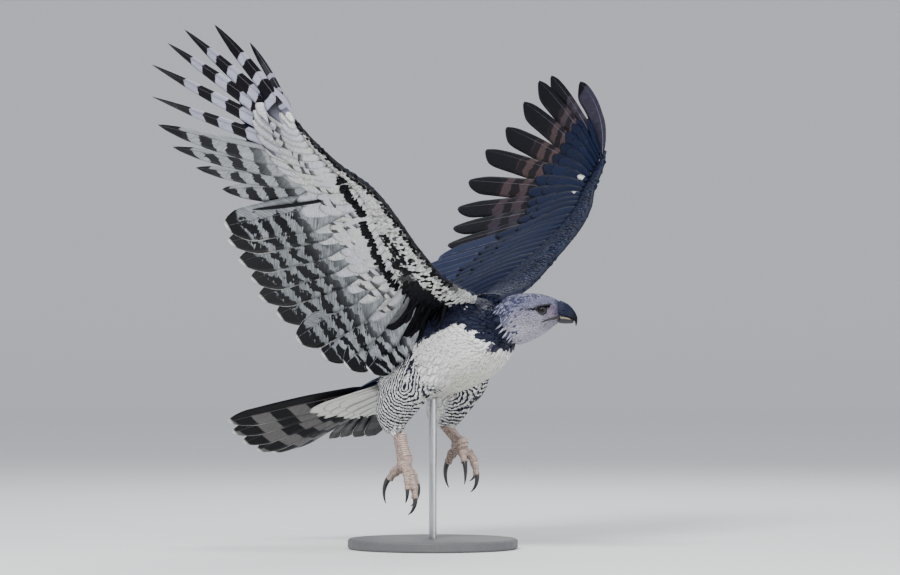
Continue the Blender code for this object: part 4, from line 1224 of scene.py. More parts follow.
def tail_feathers():
    """The twelve long feathers with their quills, and the rows of coverts over their roots."""
    coat, count = Coat("tail_feathers"), RECTRICES
    places, odd = np.linspace(-1, 1, count), np.arange(count) % 2
    root, away = tail_frame(places)
    length, rise = np.array(TAIL_TIPS).T
    tip = root + away * (length[:, None] - TAIL_GRIP) + facts(count, 0, 0, rise)
    on_left = (places > 0)[:, None]
    outward = outward_across(root, tip) * np.where(on_left, 1, -1)
    normal = unit(np.cross(tip - root, outward))
    normal *= np.sign(normal[:, 2:])
    overlap = normal * np.where(on_left, TAIL_OVERLAP, 0)
    root, tip = root + overlap, tip + overlap
    flock = flock_of(
        root, (root + tip) / 2 + normal * 0.003, tip, normal, 0.024, 0.034,
        sign=leading_sign(root, tip, normal, outward), tilt=radians(8), thick=0.0009, cup=0.04,
        tint=(0.030, 0.029, 0.036), edge=(0.42, 0.42, 0.42), under_tint=BLACK, under_edge=(0.62, 0.62, 0.60),
        dark=TAIL_GREY, bars=facts(count, 4, 2, 0.5),
        under_bars=facts(count, 4, 2, [1, 1, 1, 1, 1, 1, 1, 1, 0.4, 0.3, 0.3, 0.2]),
        habit=facts(count, 0.15, 1.0, RANDOM.random(count)),
        reach=facts(count, 0.2, 0.95, 0.09 + RANDOM.random(count) * 0.12),
        under_reach=facts(count, 0.2, 0.50, 0.04 + 0.10 * odd + RANDOM.random(count) * 0.08),
    )
    coat.add(BROAD_FEATHER, flock, large_islands(count, count, (0, 0), 1 / count, 0.36))
    patch = np.stack([np.arange(count) * 0.004 + 0.9, np.full(count, 0.76)], 1)
    coat.add(Quill(12, QUILL_WIDTH), plain(flock, (0.03, 0.03, 0.03), (0.10, 0.09, 0.09)), quill_patches(patch))
    for shelf, (height, reach, rise, count, half, face, tint, edge) in enumerate(TAIL_COVERTS):
        places = np.linspace(-1, 1, count)
        start, away = tail_frame(places, 0.75 if face < 0 else 0.50)
        start = start + facts(count, 0.010 * places, -0.02, height * (1 - 0.5 * places**2))
        end = start + away * (reach + 0.02) + facts(count, 0, 0, rise + 0.03 * places**2 * reach / 0.4)
        normal = unit(facts(count, 0.45 * places, 0, face))
        coverts = flock_of(
            start, (start + end) / 2 + normal * 0.006, end, normal, half, half, tilt=radians(4), cup=0.12,
            tint=tint, edge=edge, habit=facts(count, 0.2, 0.4, RANDOM.random(count)),
        )
        corner = (shelf % 3 * 0.30, 0.73 + shelf // 3 * 0.12)
        coat.add(MIDDLE_FEATHER, coverts, large_islands(count, count, corner, 0.03, 0.055))
    return coat


print("wing coverts and tail feathers are laid out")

# %% [markdown]
# ## Where each colour lies
# One set of rules gives the colour at any place of the body. The skin is painted with it and every
# small feather takes the colour at its own root, so the pattern is the same at both depths.
# Grey hood, navy back and breast band, white belly darkened low down by painted shade, white thighs with
# fine navy bars, navy wings above and cream ones below with lines of black dashes.


# %% Markings
# Directions and phases of the waves that add up to a random field
WAVES = ((1.0, 0.7, -0.4, 0.3), (-0.6, 1.1, 0.5, 1.7), (0.4, -0.8, 1.3, 2.9), (1.7, 0.3, 0.9, 4.1))


def wobble(points, scale, seed=0.0):
    """A smooth random field between about -1 and 1."""
    total = np.zeros(len(points))
    for n, (*way, phase) in enumerate(WAVES):
        total += np.sin(points @ np.array(way) * scale * (1 + 0.37 * n) + phase + seed)
    return total / 2.6


HEAD_FROM_BIRD = HEAD_IN_BIRD.inverted()

# Where the flank turns from white to black: distance forward and the height above which it is black
FLANK = (
    (-0.26, -0.087, 0.006, 0.072, 0.090, 0.096, 0.108, 0.122),
    (0.02, -0.015, -0.022, -0.030, -0.065, -0.095, -0.128, -0.25),
)
# Colour of the painted shade that darkens the white belly towards its underside
BELLY_PAINTED_SHADE = (0.50, 0.49, 0.38)

# The dark patch round the eye: distances ahead of it, and heights of the patch's top and foot
EYE_PATCH_TOP = (
    (-0.0165, -0.009, -0.0033, 0.0035, 0.0098, 0.017, 0.0245),
    (0.0035, 0.0085, 0.0105, 0.0118, 0.0128, 0.0138, 0.0135),
)
EYE_PATCH_FOOT = (
    (-0.0165, -0.013, -0.007, -0.0016, 0.0066, 0.011, 0.0156, 0.0245),
    (0.0035, 0.000, -0.0065, -0.0085, -0.0080, -0.001, 0.005, 0.0130),
)

# Black strokes on the underside of a wing: share of its length and distance behind the leading edge
STROKES = (
    (((0.66, 0.042), (0.57, 0.070), (0.47, 0.082)), 0.0075),
    (((0.45, 0.098), (0.37, 0.112), (0.29, 0.128), (0.18, 0.128)), 0.0095),
    (((0.38, 0.066), (0.31, 0.056), (0.26, 0.060)), 0.0055),
    (((0.29, 0.092), (0.22, 0.060)), 0.0075),
)
WING_RUN = 0.62
# Share of the length and lift of the root, middle and tip of a feather that is laid over others
LAID_SPOTS = ((0, -0.0010), (0.5, 0.0016), (1, 0.0012))


def stroke_strength(share, chord):
    """How near each place of the wing's underside is to one of its black strokes, 0 to 1."""
    spot = np.stack([share * WING_RUN, chord], 1)
    strength = np.zeros(len(share))
    for line, half in STROKES:
        line = np.array(line) * (WING_RUN, 1.0)
        for start, end in zip(line, line[1:]):
            distance = line_share(spot, start, end)[1]
            strength = np.maximum(strength, 1 - smoothstep(distance, half * 0.8, half * 1.15))
    return strength


def outer_surface(tree, points, outward, lift):
    """Points moved along a direction onto the outermost surface of a tree, and a little above it."""
    placed = []
    for point, way in zip(points, outward):
        hit = tree.ray_cast(Vector(point + way * 0.06), Vector(-way), 0.12)[0]
        placed.append(np.array(hit if hit else point) + way * lift)
    return np.array(placed)


def wing_place(wing, points, share):
    """How far behind the leading edge each point lies."""
    front, back, _, _ = wing.station(share)
    return dot(points - front, unit(back - front))[:, 0]


def wing_flow(fan, share):
    """The way in which small feathers point at shares of a wing's length."""
    front, back, _, _ = fan.wing.station(share)
    root, tip, _, _ = fan.between(np.interp(share, fan.seats, np.arange(len(fan.seats))))
    return unit(tip - root) * 0.75 + unit(back - front) * 0.25


def under_wing(points, share, chord):
    """Colour of the underside of a wing: cream, with black strokes, dashes, armpit and front edge."""
    fine = wobble(points, 420.0)
    pale = blend(CREAM, (0.74, 0.74, 0.73), smoothstep(fine, -0.5, 0.5))
    dashes = smoothstep(wobble(points, 300.0, 5.0), 0.10, 0.30) * smoothstep(-share, -0.55, -0.30)
    dashes = dashes * smoothstep(chord, 0.016, 0.022)
    dashes *= smoothstep(-chord, -0.060, -0.045) * smoothstep(share, 0.02, 0.06)
    specks = smoothstep(wobble(points, 380.0, 1.0), 0.55, 0.75) * smoothstep(chord, 0.03, 0.05) * 0.9
    front = smoothstep(-chord + 0.003 * fine, -0.014, -0.010) * smoothstep(share, 0.05, 0.12)
    front = np.maximum(front, smoothstep(share, 0.90, 0.93))
    within = smoothstep(0.085 + (0.23 - share) * 0.62 - chord, 0.0, 0.01)
    armpit = smoothstep(-share, -0.23, -0.20) * smoothstep(chord, 0.045, 0.055) * within
    dark = np.maximum.reduce([stroke_strength(share, chord), dashes, specks, front, armpit])
    return blend(pale, BLACK, dark)


def laid_feathers(fan, tree, share, chord, length, half, flow_turn=0.0):
    """Feathers laid over everything else on the underside of a wing."""
    count = len(share)
    front, back, normal, _ = fan.wing.station(share)
    down = -normal
    outwards = unit(front[:1] - fan.wing.fronts[-1]) * flow_turn
    flow = unit(wing_flow(fan, share) + outwards + RANDOM.normal(0, 0.08, (count, 3)))
    start = front + unit(back - front) * chord[:, None]
    length = length * (1 + RANDOM.normal(0, 0.08, (count, 1)))
    spots = [outer_surface(tree, start + flow * length * part, down, lift) for part, lift in LAID_SPOTS]
    return flock_of(
        *spots, down, half, half, cup=0.15, tilt=RANDOM.normal(0, 0.08, count), tint=BLACK,
        edge=(0.010, 0.010, 0.016), habit=facts(count, 0, 0.5, RANDOM.random(count)),
    )


def wing_marks(name, fan, tree):
    """The black strokes of the underside and the long black feathers of the armpit."""
    coat, share, chord = Coat("wing_marks_" + name), [], []
    for line, half in STROKES:
        line = np.array(line)
        for start, end in zip(line, line[1:]):
            number = int(np.linalg.norm((end - start) * (WING_RUN, 1.0)) / 0.0022)
            t = RANDOM.random(number)
            share.extend(start[0] + (end[0] - start[0]) * t)
            chord.extend(start[1] + (end[1] - start[1]) * t - 0.010 + RANDOM.uniform(-half, half, number) * 0.8)
    order = np.argsort(-np.array(chord))
    share, chord = np.array(share)[order], np.array(chord)[order]
    strokes = laid_feathers(fan, tree, share, chord, 0.021, 0.0050)
    grid = np.array([(a, b) for b in np.linspace(0.165, 0.045, 12) for a in np.linspace(0.01, 0.20, 16)])
    grid = grid[grid[:, 1] < 0.085 + (0.20 - grid[:, 0]) * 0.50]
    grid = grid + RANDOM.normal(0, 0.004, grid.shape) * (0.6, 1.0)
    armpit = laid_feathers(fan, tree, np.clip(grid[:, 0], 0.005, 1), grid[:, 1], 0.052, 0.0065, 0.35)
    coat.add(SMALL_FEATHER, strokes, small_patches(0.1 + 0.6 * np.stack([share, chord * 4], 1)))
    columns = 80
    coat.add(MIDDLE_FEATHER, armpit, large_islands(len(grid), columns, (0.0, 0.8), 1 / columns, 0.03))
    return coat


def over_wing(points, share, chord):
    """Colour of the upper side of a wing: navy, with small white scallops along the front edge."""
    top = blend(NAVY, DEEP_NAVY, 0.5 + 0.5 * wobble(points, 130.0, 2.0))
    scallop = smoothstep(-chord, -0.0035, 0.0) * smoothstep(wobble(points, 420.0), 0.3, 0.6)
    return blend(top, WHITE, scallop * smoothstep(share, 0.1, 0.2) * 0.8)


def head_colour(local):
    """Colour of the hood at places in the head's frame, one layer over the other."""
    ahead, out, high = -local[:, 1], np.abs(local[:, 0]), local[:, 2]
    streak = wobble(local * (1.6, 0.5, 1.6), 520.0)
    spots = smoothstep(wobble(local, 620.0) + 0.5 * wobble(local, 240.0), 0.0, 0.5)
    crown = smoothstep(high - 0.10 * ahead, 0.016, 0.030)
    nape = smoothstep(-ahead, 0.045, 0.075)
    throat = smoothstep(-high - 0.2 * ahead, 0.030, 0.048)
    lore = smoothstep(ahead, 0.012, 0.022) * smoothstep(out, 0.008, 0.014)
    lore = lore * smoothstep(-np.abs(high + 0.004), -0.018, -0.010)
    above, below = np.interp(ahead, *EYE_PATCH_TOP), np.interp(ahead, *EYE_PATCH_FOOT)
    around_eye = smoothstep(np.minimum(above - high, high - below), -0.0015, 0.0005)
    around_eye = around_eye * smoothstep(out, 0.014, 0.020)
    behind = smoothstep(-np.abs(high - 0.0048 + 0.30 * (ahead + 0.016)), -0.0032, -0.0016)
    behind = behind * smoothstep(-ahead, 0.010, 0.016) * smoothstep(ahead, -0.050, -0.030)
    base = smoothstep(ahead + 0.004 * wobble(local, 500.0), 0.0255, 0.0345) * smoothstep(high, -0.020, -0.012)
    colour = blend((0.185, 0.185, 0.27), (0.29, 0.275, 0.33), smoothstep(-high, -0.02, 0.03))
    for layer, strength in (
        ((0.030, 0.036, 0.085), spots * np.maximum(crown * 0.9, 0.12)),
        ((0.40, 0.40, 0.50), nape * smoothstep(streak, -0.2, 0.2) * 0.8),
        ((0.10, 0.11, 0.19), nape * smoothstep(-streak, 0.1, 0.5) * 0.8),
        ((0.40, 0.40, 0.46), throat * 0.75),
        ((0.27, 0.20, 0.27), lore * 0.8),
        ((0.006, 0.006, 0.009), np.maximum(around_eye, behind * 0.45 * (out > 0.02))),
        ((0.055, 0.060, 0.105), base * 0.85),
    ):
        colour = blend(colour, layer, strength)
    return colour


def markings(points, normals, part, along):
    """Colour, edge colour and bar strength at places of the body given in the bird's frame."""
    name = np.array(PART_NAMES)[part]
    tint, bars = np.tile(WHITE, (len(points), 1)), np.zeros(len(points))
    forward, rise = -points[:, 1], points[:, 2]
    fine, coarse = wobble(points, 420.0), wobble(points, 130.0, 2.0)

    trunk = np.isin(name, ("torso", "neck", "tail"))
    navy = blend((0.016, 0.020, 0.044), (0.010, 0.012, 0.026), 0.5 + 0.5 * coarse)
    dark = smoothstep(rise - np.interp(forward, *FLANK) + 0.004 * coarse, -0.004, 0.004)
    dark = np.maximum(dark * (name != "tail"), smoothstep(normals[:, 2] + 0.06 * fine, 0.15, 0.3))
    dark = np.maximum(dark, (name == "neck") & (forward > 0.122))
    # Painted shade: the white turns darker towards the bottom of the belly
    white = blend(WHITE, BELLY_PAINTED_SHADE, smoothstep(-rise, 0.085, 0.150) * 0.6)
    tint[trunk] = blend(white, navy, dark)[trunk]
    wisp = (np.abs(forward - 0.128) < 0.010) & (np.abs(rise + 0.118) < 0.007) & (name != "head")
    tint[wisp] = WHITE
    head = name == "head"
    tint[head] = head_colour(carried(points, HEAD_FROM_BIRD))[head]

    thigh = np.isin(name, ("thigh_left", "thigh_right"))
    bars[thigh] = (1.0 - smoothstep(along, 0.70, 0.85))[thigh]
    bars *= np.where(
        name == "thigh_right",
        smoothstep(-0.094 - 0.222 * rise + 0.006 * fine - forward, -0.004, 0.004),
        smoothstep(-0.080 + 0.356 * forward + 0.006 * fine - rise, -0.004, 0.012),
    )

    for side_name, wing in WINGS.items():
        on_wing = name == "wing_" + side_name
        if on_wing.any():
            spots, share = points[on_wing], along[on_wing]
            upper = dot(normals[on_wing], wing.station(share)[2]) > 0
            chord = wing_place(wing, spots, share)
            below = under_wing(spots, share, chord)
            if side_name == "left":
                below = blend(below, NAVY, smoothstep(-share, -0.20, -0.12))
            tint[on_wing] = np.where(upper, over_wing(spots, share, chord), below)
    return tint, tint * 1.1, bars


# %% [markdown]
# ## The lie of the small feathers
# On the trunk and the head the feathers point backwards, on the thighs downwards and on the wings
# from the front edge towards the flight feathers, turning outwards along the hand.
# Where two parts meet, both directions count by how near each part is.
# %% Flow, spacing and size
FLOWS = []
for part_name, (rings, _) in BODY_PARTS.items():
    centres = np.array([np.mean(ring, axis=0) for ring in rings])
    FLOWS.append(unit(np.gradient(centres, axis=0)) * (-1 if part_name in ("neck", "head") else 1))
HEAD_PART = PART_NAMES.index("head")


def flow_at(points, own_part, along):
    """Unit directions in which feathers point."""
    total = np.zeros((len(points), 3))
    for part, (name, tree) in enumerate(zip(PART_NAMES, part_trees)):
        gap = np.array([tree.find_nearest(point)[3] for point in points])
        weight = np.exp(-((np.abs(gap) / 0.014) ** 2)) + (own_part == part) * 0.05
        share = np.where(own_part == part, along, 0.0 if name.startswith(("wing", "thigh")) else 0.5)
        if name.startswith("wing"):
            direction = wing_flow(FANS[name[5:]], share)
        else:
            last = len(FLOWS[part]) - 1
            direction = FLOWS[part][np.clip(share * last, 0, last).astype(int)]
        total += direction * weight[:, None]
    return unit(total)


# Part: spacing, length, half width and lift of its feathers
SIZES = {
    "torso": (0.0050, 0.032, 0.0054, 0.0004),
    "neck": (0.0064, 0.032, 0.0080, 0.0007),
    "tail": (0.0080, 0.034, 0.0100, 0.0014),
    "head": (0.0038, 0.0125, 0.0034, 0.0011),
    "wing_left": (0.0060, 0.026, 0.0070, 0.0006),
    "wing_right": (0.0060, 0.024, 0.0070, 0.0010),
    "thigh_left": (0.0056, 0.024, 0.0066, 0.0015),
    "thigh_right": (0.0056, 0.024, 0.0066, 0.0015),
}


def scattered(spacing_of):
    """Places on the skin no nearer to each other than the spacing asked for there."""
    first, second, third = (SKIN_CORNERS[:, corner] for corner in range(3))
    areas = np.linalg.norm(np.cross(second - first, third - first), axis=1) / 2
    face_spacing = spacing_of(FACE_PART, CENTRES)
    density = areas / face_spacing**2
    count = int(density.sum() * 6)
    faces = RANDOM.choice(len(areas), count, p=density / density.sum())
    a, b = RANDOM.random((2, count, 1))
    flip = (a + b) > 1
    a, b = np.where(flip, 1 - a, a), np.where(flip, 1 - b, b)
    corners = SKIN_CORNERS[faces]
    points = corners[:, 0] + a * (corners[:, 1] - corners[:, 0]) + b * (corners[:, 2] - corners[:, 0])
    spacing = face_spacing[faces] * 0.86
    tree = tree_of(points)
    alive, kept = np.ones(count, bool), []
    for index in range(count):
        if alive[index]:
            kept.append(index)
            for _, other, _ in tree.find_range(points[index], spacing[index]):
                alive[other] = False
    return points[kept], faces[kept]


def face_share(part, local):
    """Nearly 1 on the face, where the feathers are shortest, and 0 elsewhere."""
    return (part == HEAD_PART) * smoothstep(-local[:, 1], -0.02, 0.02)


def small_feathers():
    """Every small feather, the part of the body it is on and its place in the flat map."""
    names, sizes = np.array(PART_NAMES), np.array([SIZES[name] for name in PART_NAMES])

    def spacing_of(part, centres):
        return sizes[part, 0] * (1 - 0.35 * face_share(part, carried(centres, HEAD_FROM_BIRD)))

    points, faces = scattered(spacing_of)
    part, along = nearest_ring(points)
    local = carried(points, HEAD_FROM_BIRD)
    beak = (part == HEAD_PART) & (-local[:, 1] > 0.0345)
    eye = (part == HEAD_PART) & (np.hypot(local[:, 1], local[:, 2]) < 0.0125) & (np.abs(local[:, 0]) > 0.02)
    ankle = np.char.startswith(names[part], "thigh") & (along > 0.97)
    keep = ~(beak | eye | ankle)
    points, faces, part, along, local = (rows[keep] for rows in (points, faces, part, along, local))
    normal, count = SKIN_NORMALS[faces], len(points)
    hood = (part == HEAD_PART) * smoothstep(local[:, 1], 0.030, 0.070)
    flow = flow_at(points, part, along)
    flow = flow + hood[:, None] * 0.8 * np.array(HEAD_IN_BIRD.to_3x3() @ Vector((0, 0, -1)))
    flow = unit(flow + RANDOM.normal(0, 0.06, flow.shape))
    flow = unit(flow - dot(flow, normal) * normal)
    scale = 1 + RANDOM.normal(0, 0.08, count)
    face, front_edge = face_share(part, local), np.zeros(count)
    for name, wing in WINGS.items():
        on_wing = part == PART_NAMES.index("wing_" + name)
        front_edge[on_wing] = 1 - smoothstep(wing_place(wing, points[on_wing], along[on_wing]), 0.008, 0.030)
    _, length, half, lift = sizes[part].T
    length = length * scale * (1 - 0.45 * face + 1.2 * hood - 0.5 * front_edge)
    half = half * scale * (1 - 0.40 * face - 0.25 * hood - 0.3 * front_edge)
    lift = lift * (1 - 0.4 * face + 0.8 * hood - 0.4 * front_edge)
    root = points - normal * 0.0006 - flow * length[:, None] * 0.12
    on_any_wing, stays, ends = np.char.startswith(names[part], "wing"), np.ones(count, bool), []
    for share, height in ((0.5, 0.9), (1.0, 1.0)):
        free = points + flow * length[:, None] * share
        nearest = [SKIN_TREE.find_nearest(point)[:2] for point in free]
        spots, face_normals = np.array(nearest).transpose(1, 0, 2)
        stays &= ~((dot(face_normals, normal)[:, 0] < 0.35) & on_any_wing)
        pulled = np.linalg.norm(spots - free, axis=1) > 0.012
        spots[pulled] = free[pulled]
        face_normals[pulled] = normal[pulled]
        ends.append((spots + face_normals * (lift * height)[:, None], face_normals))
    (mid, _), (tip, tip_normal) = ends
    tint, edge, bars = markings(points, normal, part, along)
    tint = tint * (1 + RANDOM.normal(0, 0.035, (count, 1)))
    dark_streak = RANDOM.random(count) < hood * (0.15 + 0.4 * smoothstep(local[:, 2], -0.012, 0.018))
    tint[dark_streak] = (0.050, 0.055, 0.110)
    edge[dark_streak] = (0.12, 0.12, 0.19)
    flock = flock_of(
        root, mid, tip, normal, half, half, cup=0.06, thick=0.0004, tint=tint, edge=edge,
        bars=facts(count, 3, 2, bars), habit=facts(count, 0.25, 0.6, RANDOM.random(count)),
        dark=(0.012, 0.014, 0.034), tilt=RANDOM.normal(0, 0.012, count),
    )
    flock["tip_normal"] = unit(tip_normal + normal * 0.1)
    flock = {key: value[stays] for key, value in flock.items()}
    return flock, part[stays], flat_place(points, FACE_ISLAND[faces])[stays]


SMALL, SMALL_PART, SMALL_SPOTS = small_feathers()
print("small feathers:", len(SMALL_PART), dict(zip(PART_NAMES, np.bincount(SMALL_PART, minlength=8).tolist())))


# %% [markdown]
# ## What a feather is made of
# One material paints every feather from facts that ride on its faces: its colour, the colour of its
# edge, how many bars it has, where its dark tip begins, how jagged its marks are. Fine streaks along
# the barbs change the colour a little and give the surface its silky grain.
# %% Materials of feathers and skin
FORWARD_AXIS, UP_AXIS = Vector((0, -1, 0)), Vector((0, 0, 1))
# The thigh's bars are ovals round this place, this far apart
THIGH_CENTRE, THIGH_PITCH = BIRD_POSE @ at(-0.130, 0.0, -0.105), 0.0078


def feather_material(name, roughness, banded=False):
    """Paint made of a feather's facts; banded runs its bars in ovals over many feathers."""
    made = Finish(name, roughness)
    across, along = made.vane()
    tint, edge, dark = (made.attribute(fact) for fact in ("tint", "edge", "dark"))
    bars, habit, reach = (made.attribute(fact, 1) for fact in ("bars", "habit", "reach"))
    count, tip_from, strength = (bars.part(k) for k in range(3))
    fade, limit, shift = (reach.part(k) for k in range(3))
    jag, rim, chance = (habit.part(k) for k in range(3))
    off = (across - 0.5).maths("ABSOLUTE") * 2.0
    barb = along - off * 0.10
    streak = made.noise(1.0, made.vector(barb * 90.0, across * 3.0, chance * 50.0), 2.0)
    ragged = made.noise(1.0, made.vector(along * 14.0, across * 5.0, chance * 31.0), 3.0)
    phase = along + off * 0.02 + (ragged - 0.5) * jag * 0.10 + (streak - 0.5) * jag * 0.05
    if banded:
        ahead, up = (
            made.node("VectorMath", {"operation": "DOT_PRODUCT"}, {0: made.place(), 1: tuple(axis)}, 1)
            - float(axis.dot(THIGH_CENTRE))
            for axis in (FORWARD_AXIS, UP_AXIS)
        )
        up = up.maths("MAXIMUM", 0.0) * 0.20 + up.maths("MINIMUM", 0.0)
        reach_out = (ahead * ahead + up * up).maths("SQRT")
        phase = reach_out / THIGH_PITCH - off * off * 0.25 + (made.noise(60.0) - 0.5) * 1.6
        wave = (phase * (2 * pi)).maths("SINE")
    else:
        wave = ((phase * count + shift) * (2 * pi)).maths("SINE")
    broad = along.step(0.28, 0.36) * 0.5 + 0.5
    within = 1.0 - (across + (ragged - 0.5) * jag * 0.6 - limit * broad).step(-0.02, 0.05)
    bar = (wave + (strength - 1.0).maths("MAXIMUM", 0.0)).step(-0.15, 0.12)
    bar = bar * strength.maths("MINIMUM", 1.0) * within
    fading = 1.0 if banded else (along - fade + 0.12).step(0.0, 0.30)
    barred = (bar * fading).mix(tint, dark)
    blotch = (along + (ragged - 0.5) * 0.06 + off * off * 0.03 - tip_from).step(0.0, 0.02)
    tipped = blotch.mix(barred, dark)
    border = along.step(0.970, 0.992).maths("MAXIMUM", off.step(0.94, 0.995) * along.step(0.60, 0.85)) * rim
    rimmed = border.mix(tipped, edge)
    shade = (streak.step(0.30, 0.70) - 0.5) * (jag * 0.38 + 0.16) + 1.0
    made.set("Base Color", rimmed.scaled(shade))
    made.set("Roughness", streak * 0.25 + (roughness - 0.12))
    made.set("Specular IOR Level", 0.11)
    made.bump(streak, 0.0006, 0.5)
    return made.material


def skin_material():
    """Down that shows where the feathers leave a gap."""
    made = Finish("skin_under_feathers", 0.8)
    down = made.noise(320.0, detail=4.0)
    made.set("Base Color", made.attribute("tint").scaled(0.62 + down * 0.3))
    made.bump(down, 0.001, 0.6)
    return made.material


FEATHER = feather_material("feathers", 0.55)
FLIGHT = feather_material("flight_feathers", 0.42)
BARRED = feather_material("barred_feathers", 0.6, banded=True)
SKIN = skin_material()


# %% [markdown]
# ## Dressing the bird
# %% Skin, flight feathers, coverts and tail
def make_skin():
    layer = skin_form.loops.layers.uv.new("OFBake")
    flat = [flat_place(SKIN_CORNERS[:, corner], FACE_ISLAND) for corner in range(3)]
    for index, face in enumerate(skin_form.faces):
        for corner, loop in enumerate(face.loops):
            loop[layer].uv = flat[corner][index]
    mesh = mesh_of(skin_form, "skin")
    tint = markings(SKIN_POINTS, POINT_NORMALS, *nearest_ring(SKIN_POINTS))[0]
    paint = mesh.attributes.new("tint", "FLOAT_VECTOR", "POINT")
    paint.data.foreach_set("vector", tint.astype(np.float32).ravel())
    mesh.transform(BIRD_POSE)
    finished("skin", mesh, SKIN, "white_feathers", "torso", "neck", "head", "thigh_left", "thigh_right")


make_skin()
for side_name, fan in FANS.items():
    flight = flight_feathers(side_name, fan)
    flight.finish(FLIGHT, "slate_feathers", "wing_arm_" + side_name, "wing_hand_" + side_name)
    coverts = wing_coverts(side_name, fan)
    corners, faces = coverts.surface()
    skin_faces = np.arange(len(SKIN_CORNERS) * 3).reshape(-1, 3) + len(corners)
    corners = np.concatenate([corners, SKIN_CORNERS.reshape(-1, 3)])
    tree = BVHTree.FromPolygons(corners.tolist(), faces.tolist() + skin_faces.tolist(), epsilon=0.0)
    wing_marks(side_name, fan, tree).finish(FEATHER, "slate_feathers")
    coverts.finish(FEATHER, "slate_feathers")
tail_feathers().finish(FLIGHT, "slate_feathers", "tail")

# %% Small feathers
COAT_PIECES = {
    "coat_trunk": ("torso", "neck", "tail"), "coat_head": ("head",), "coat_wing_left": ("wing_left",),
    "coat_wing_right": ("wing_right",), "coat_thighs": ("thigh_left", "thigh_right"),
}
for piece_name, names in COAT_PIECES.items():
    chosen = np.isin(SMALL_PART, [PART_NAMES.index(name) for name in names])
    coat = Coat(piece_name)
    flock = {key: value[chosen] for key, value in SMALL.items()}
    coat.add(SMALL_FEATHER, flock, small_patches(SMALL_SPOTS[chosen]))
    material = BARRED if piece_name == "coat_thighs" else FEATHER
    coat.finish(material, "grey_head" if piece_name == "coat_head" else "white_feathers")

# %% [markdown]
# ## Beak, cere and mouth
# The beak is one smooth hook above and a shorter cup below. Its first fifth is the cere, a band of
# softer skin with the slit of the nostril in it. The gape runs back from the beak under the eye.
# %% Beak
UPPER_BEAK = (
    ((0.0355, 0.0228), (0.0345, -0.0120), 0.0156),
    ((0.0405, 0.0216), (0.0392, -0.0138), 0.0150),
    ((0.0515, 0.0165), (0.0500, -0.0155), 0.0132),
    ((0.0630, 0.0070), (0.0600, -0.0185), 0.0104),
    ((0.0720, -0.0052), (0.0660, -0.0218), 0.0076),
    ((0.0768, -0.0175), (0.0705, -0.0258), 0.0047),
    ((0.0762, -0.0290), (0.0722, -0.0325), 0.0020),
    ((0.0740, -0.0362), (0.0730, -0.0366), 0.0007),
)
LOWER_BEAK = (
    ((0.0345, -0.0140), (0.0345, -0.0300), 0.0124),
    ((0.0420, -0.0145), (0.0410, -0.0306), 0.0116),
    ((0.0520, -0.0158), (0.0500, -0.0310), 0.0098),
    ((0.0615, -0.0192), (0.0595, -0.0306), 0.0072),
    ((0.0685, -0.0240), (0.0665, -0.0296), 0.0030),
)
NOSTRIL_PLACE, NOSTRIL_SIZE = (0.0455, 0.0150, -0.0010), (0.0030, 0.0032, 0.0012)
NOSTRIL_LEAN = radians(38)
HORN, HOOK_BLACK, CERE = (0.006, 0.009, 0.022), (0.002, 0.002, 0.004), (0.018, 0.021, 0.045)


def beak_half(sections, steps, pinch):
    """A beak whose sides narrow towards its ridge: pinch 1 gives an oval, more gives a keel."""
    rings = rings_through(sections, steps, count=40)
    for ring in rings:
        rise = ring[:, 2] - ring.mean(0)[2]
        rise = rise / (np.abs(rise).max() + 1e-9)
        ring[:, 0] *= 1 - pinch * np.clip(rise, 0, 1) ** 2 * 0.35
    return tube(rings)


def cut_from(obj, bm):
    """Takes a form away from an object, then removes the form."""
    tool = add_object("taken_away", mesh_of(bm, "taken_away"))
    cut = obj.modifiers.new("cut", "BOOLEAN")
    cut.operation, cut.object, cut.solver = "DIFFERENCE", tool, "EXACT"
    shape = evaluated_mesh(obj)
    obj.modifiers.clear()
    obj.data = shape
    bpy.data.objects.remove(tool)


def beak_material():
    made = Finish("beak", 0.36, Specular_IOR_Level=0.16)
    around, along = made.vane()
    grain = made.noise(90.0, made.vector(along * 2.0, around * 30.0))
    base = grain.mix(HORN, (0.015, 0.019, 0.042))
    with_hook = (along + (grain - 0.5) * 0.10).step(0.42, 0.66).mix(base, HOOK_BLACK)
    soft = (along + (grain - 0.5) * 0.03).step(0.20, 0.27)
    made.set("Base Color", soft.mix(CERE, with_hook))
    made.set("Roughness", 0.52 - soft * 0.20 + grain * 0.08)
    made.bump(grain * 0.6 + made.noise(420.0) * 0.4, 0.0007, 0.5)
    return made.material


def lower_beak_material():
    made = Finish("lower_beak", 0.38, Coat_Weight=0.15)
    around, along = made.vane()
    grain = made.noise(70.0, made.vector(along * 2.0, around * 24.0))
    # Pale along the upper edge of the lower beak: partly the pale edge of the mouth, partly a painted highlight
    pale_edge_and_highlight = ((around - 0.5).maths("ABSOLUTE") * 2.0 + (grain - 0.5) * 0.08).step(0.62, 0.74)
    colour = pale_edge_and_highlight.mix((0.012, 0.013, 0.018), (0.34, 0.31, 0.20))
    made.set("Base Color", (along + grain * 0.1).step(0.70, 0.9).mix(colour, HOOK_BLACK))
    made.bump(grain, 0.0005, 0.5)
    return made.material


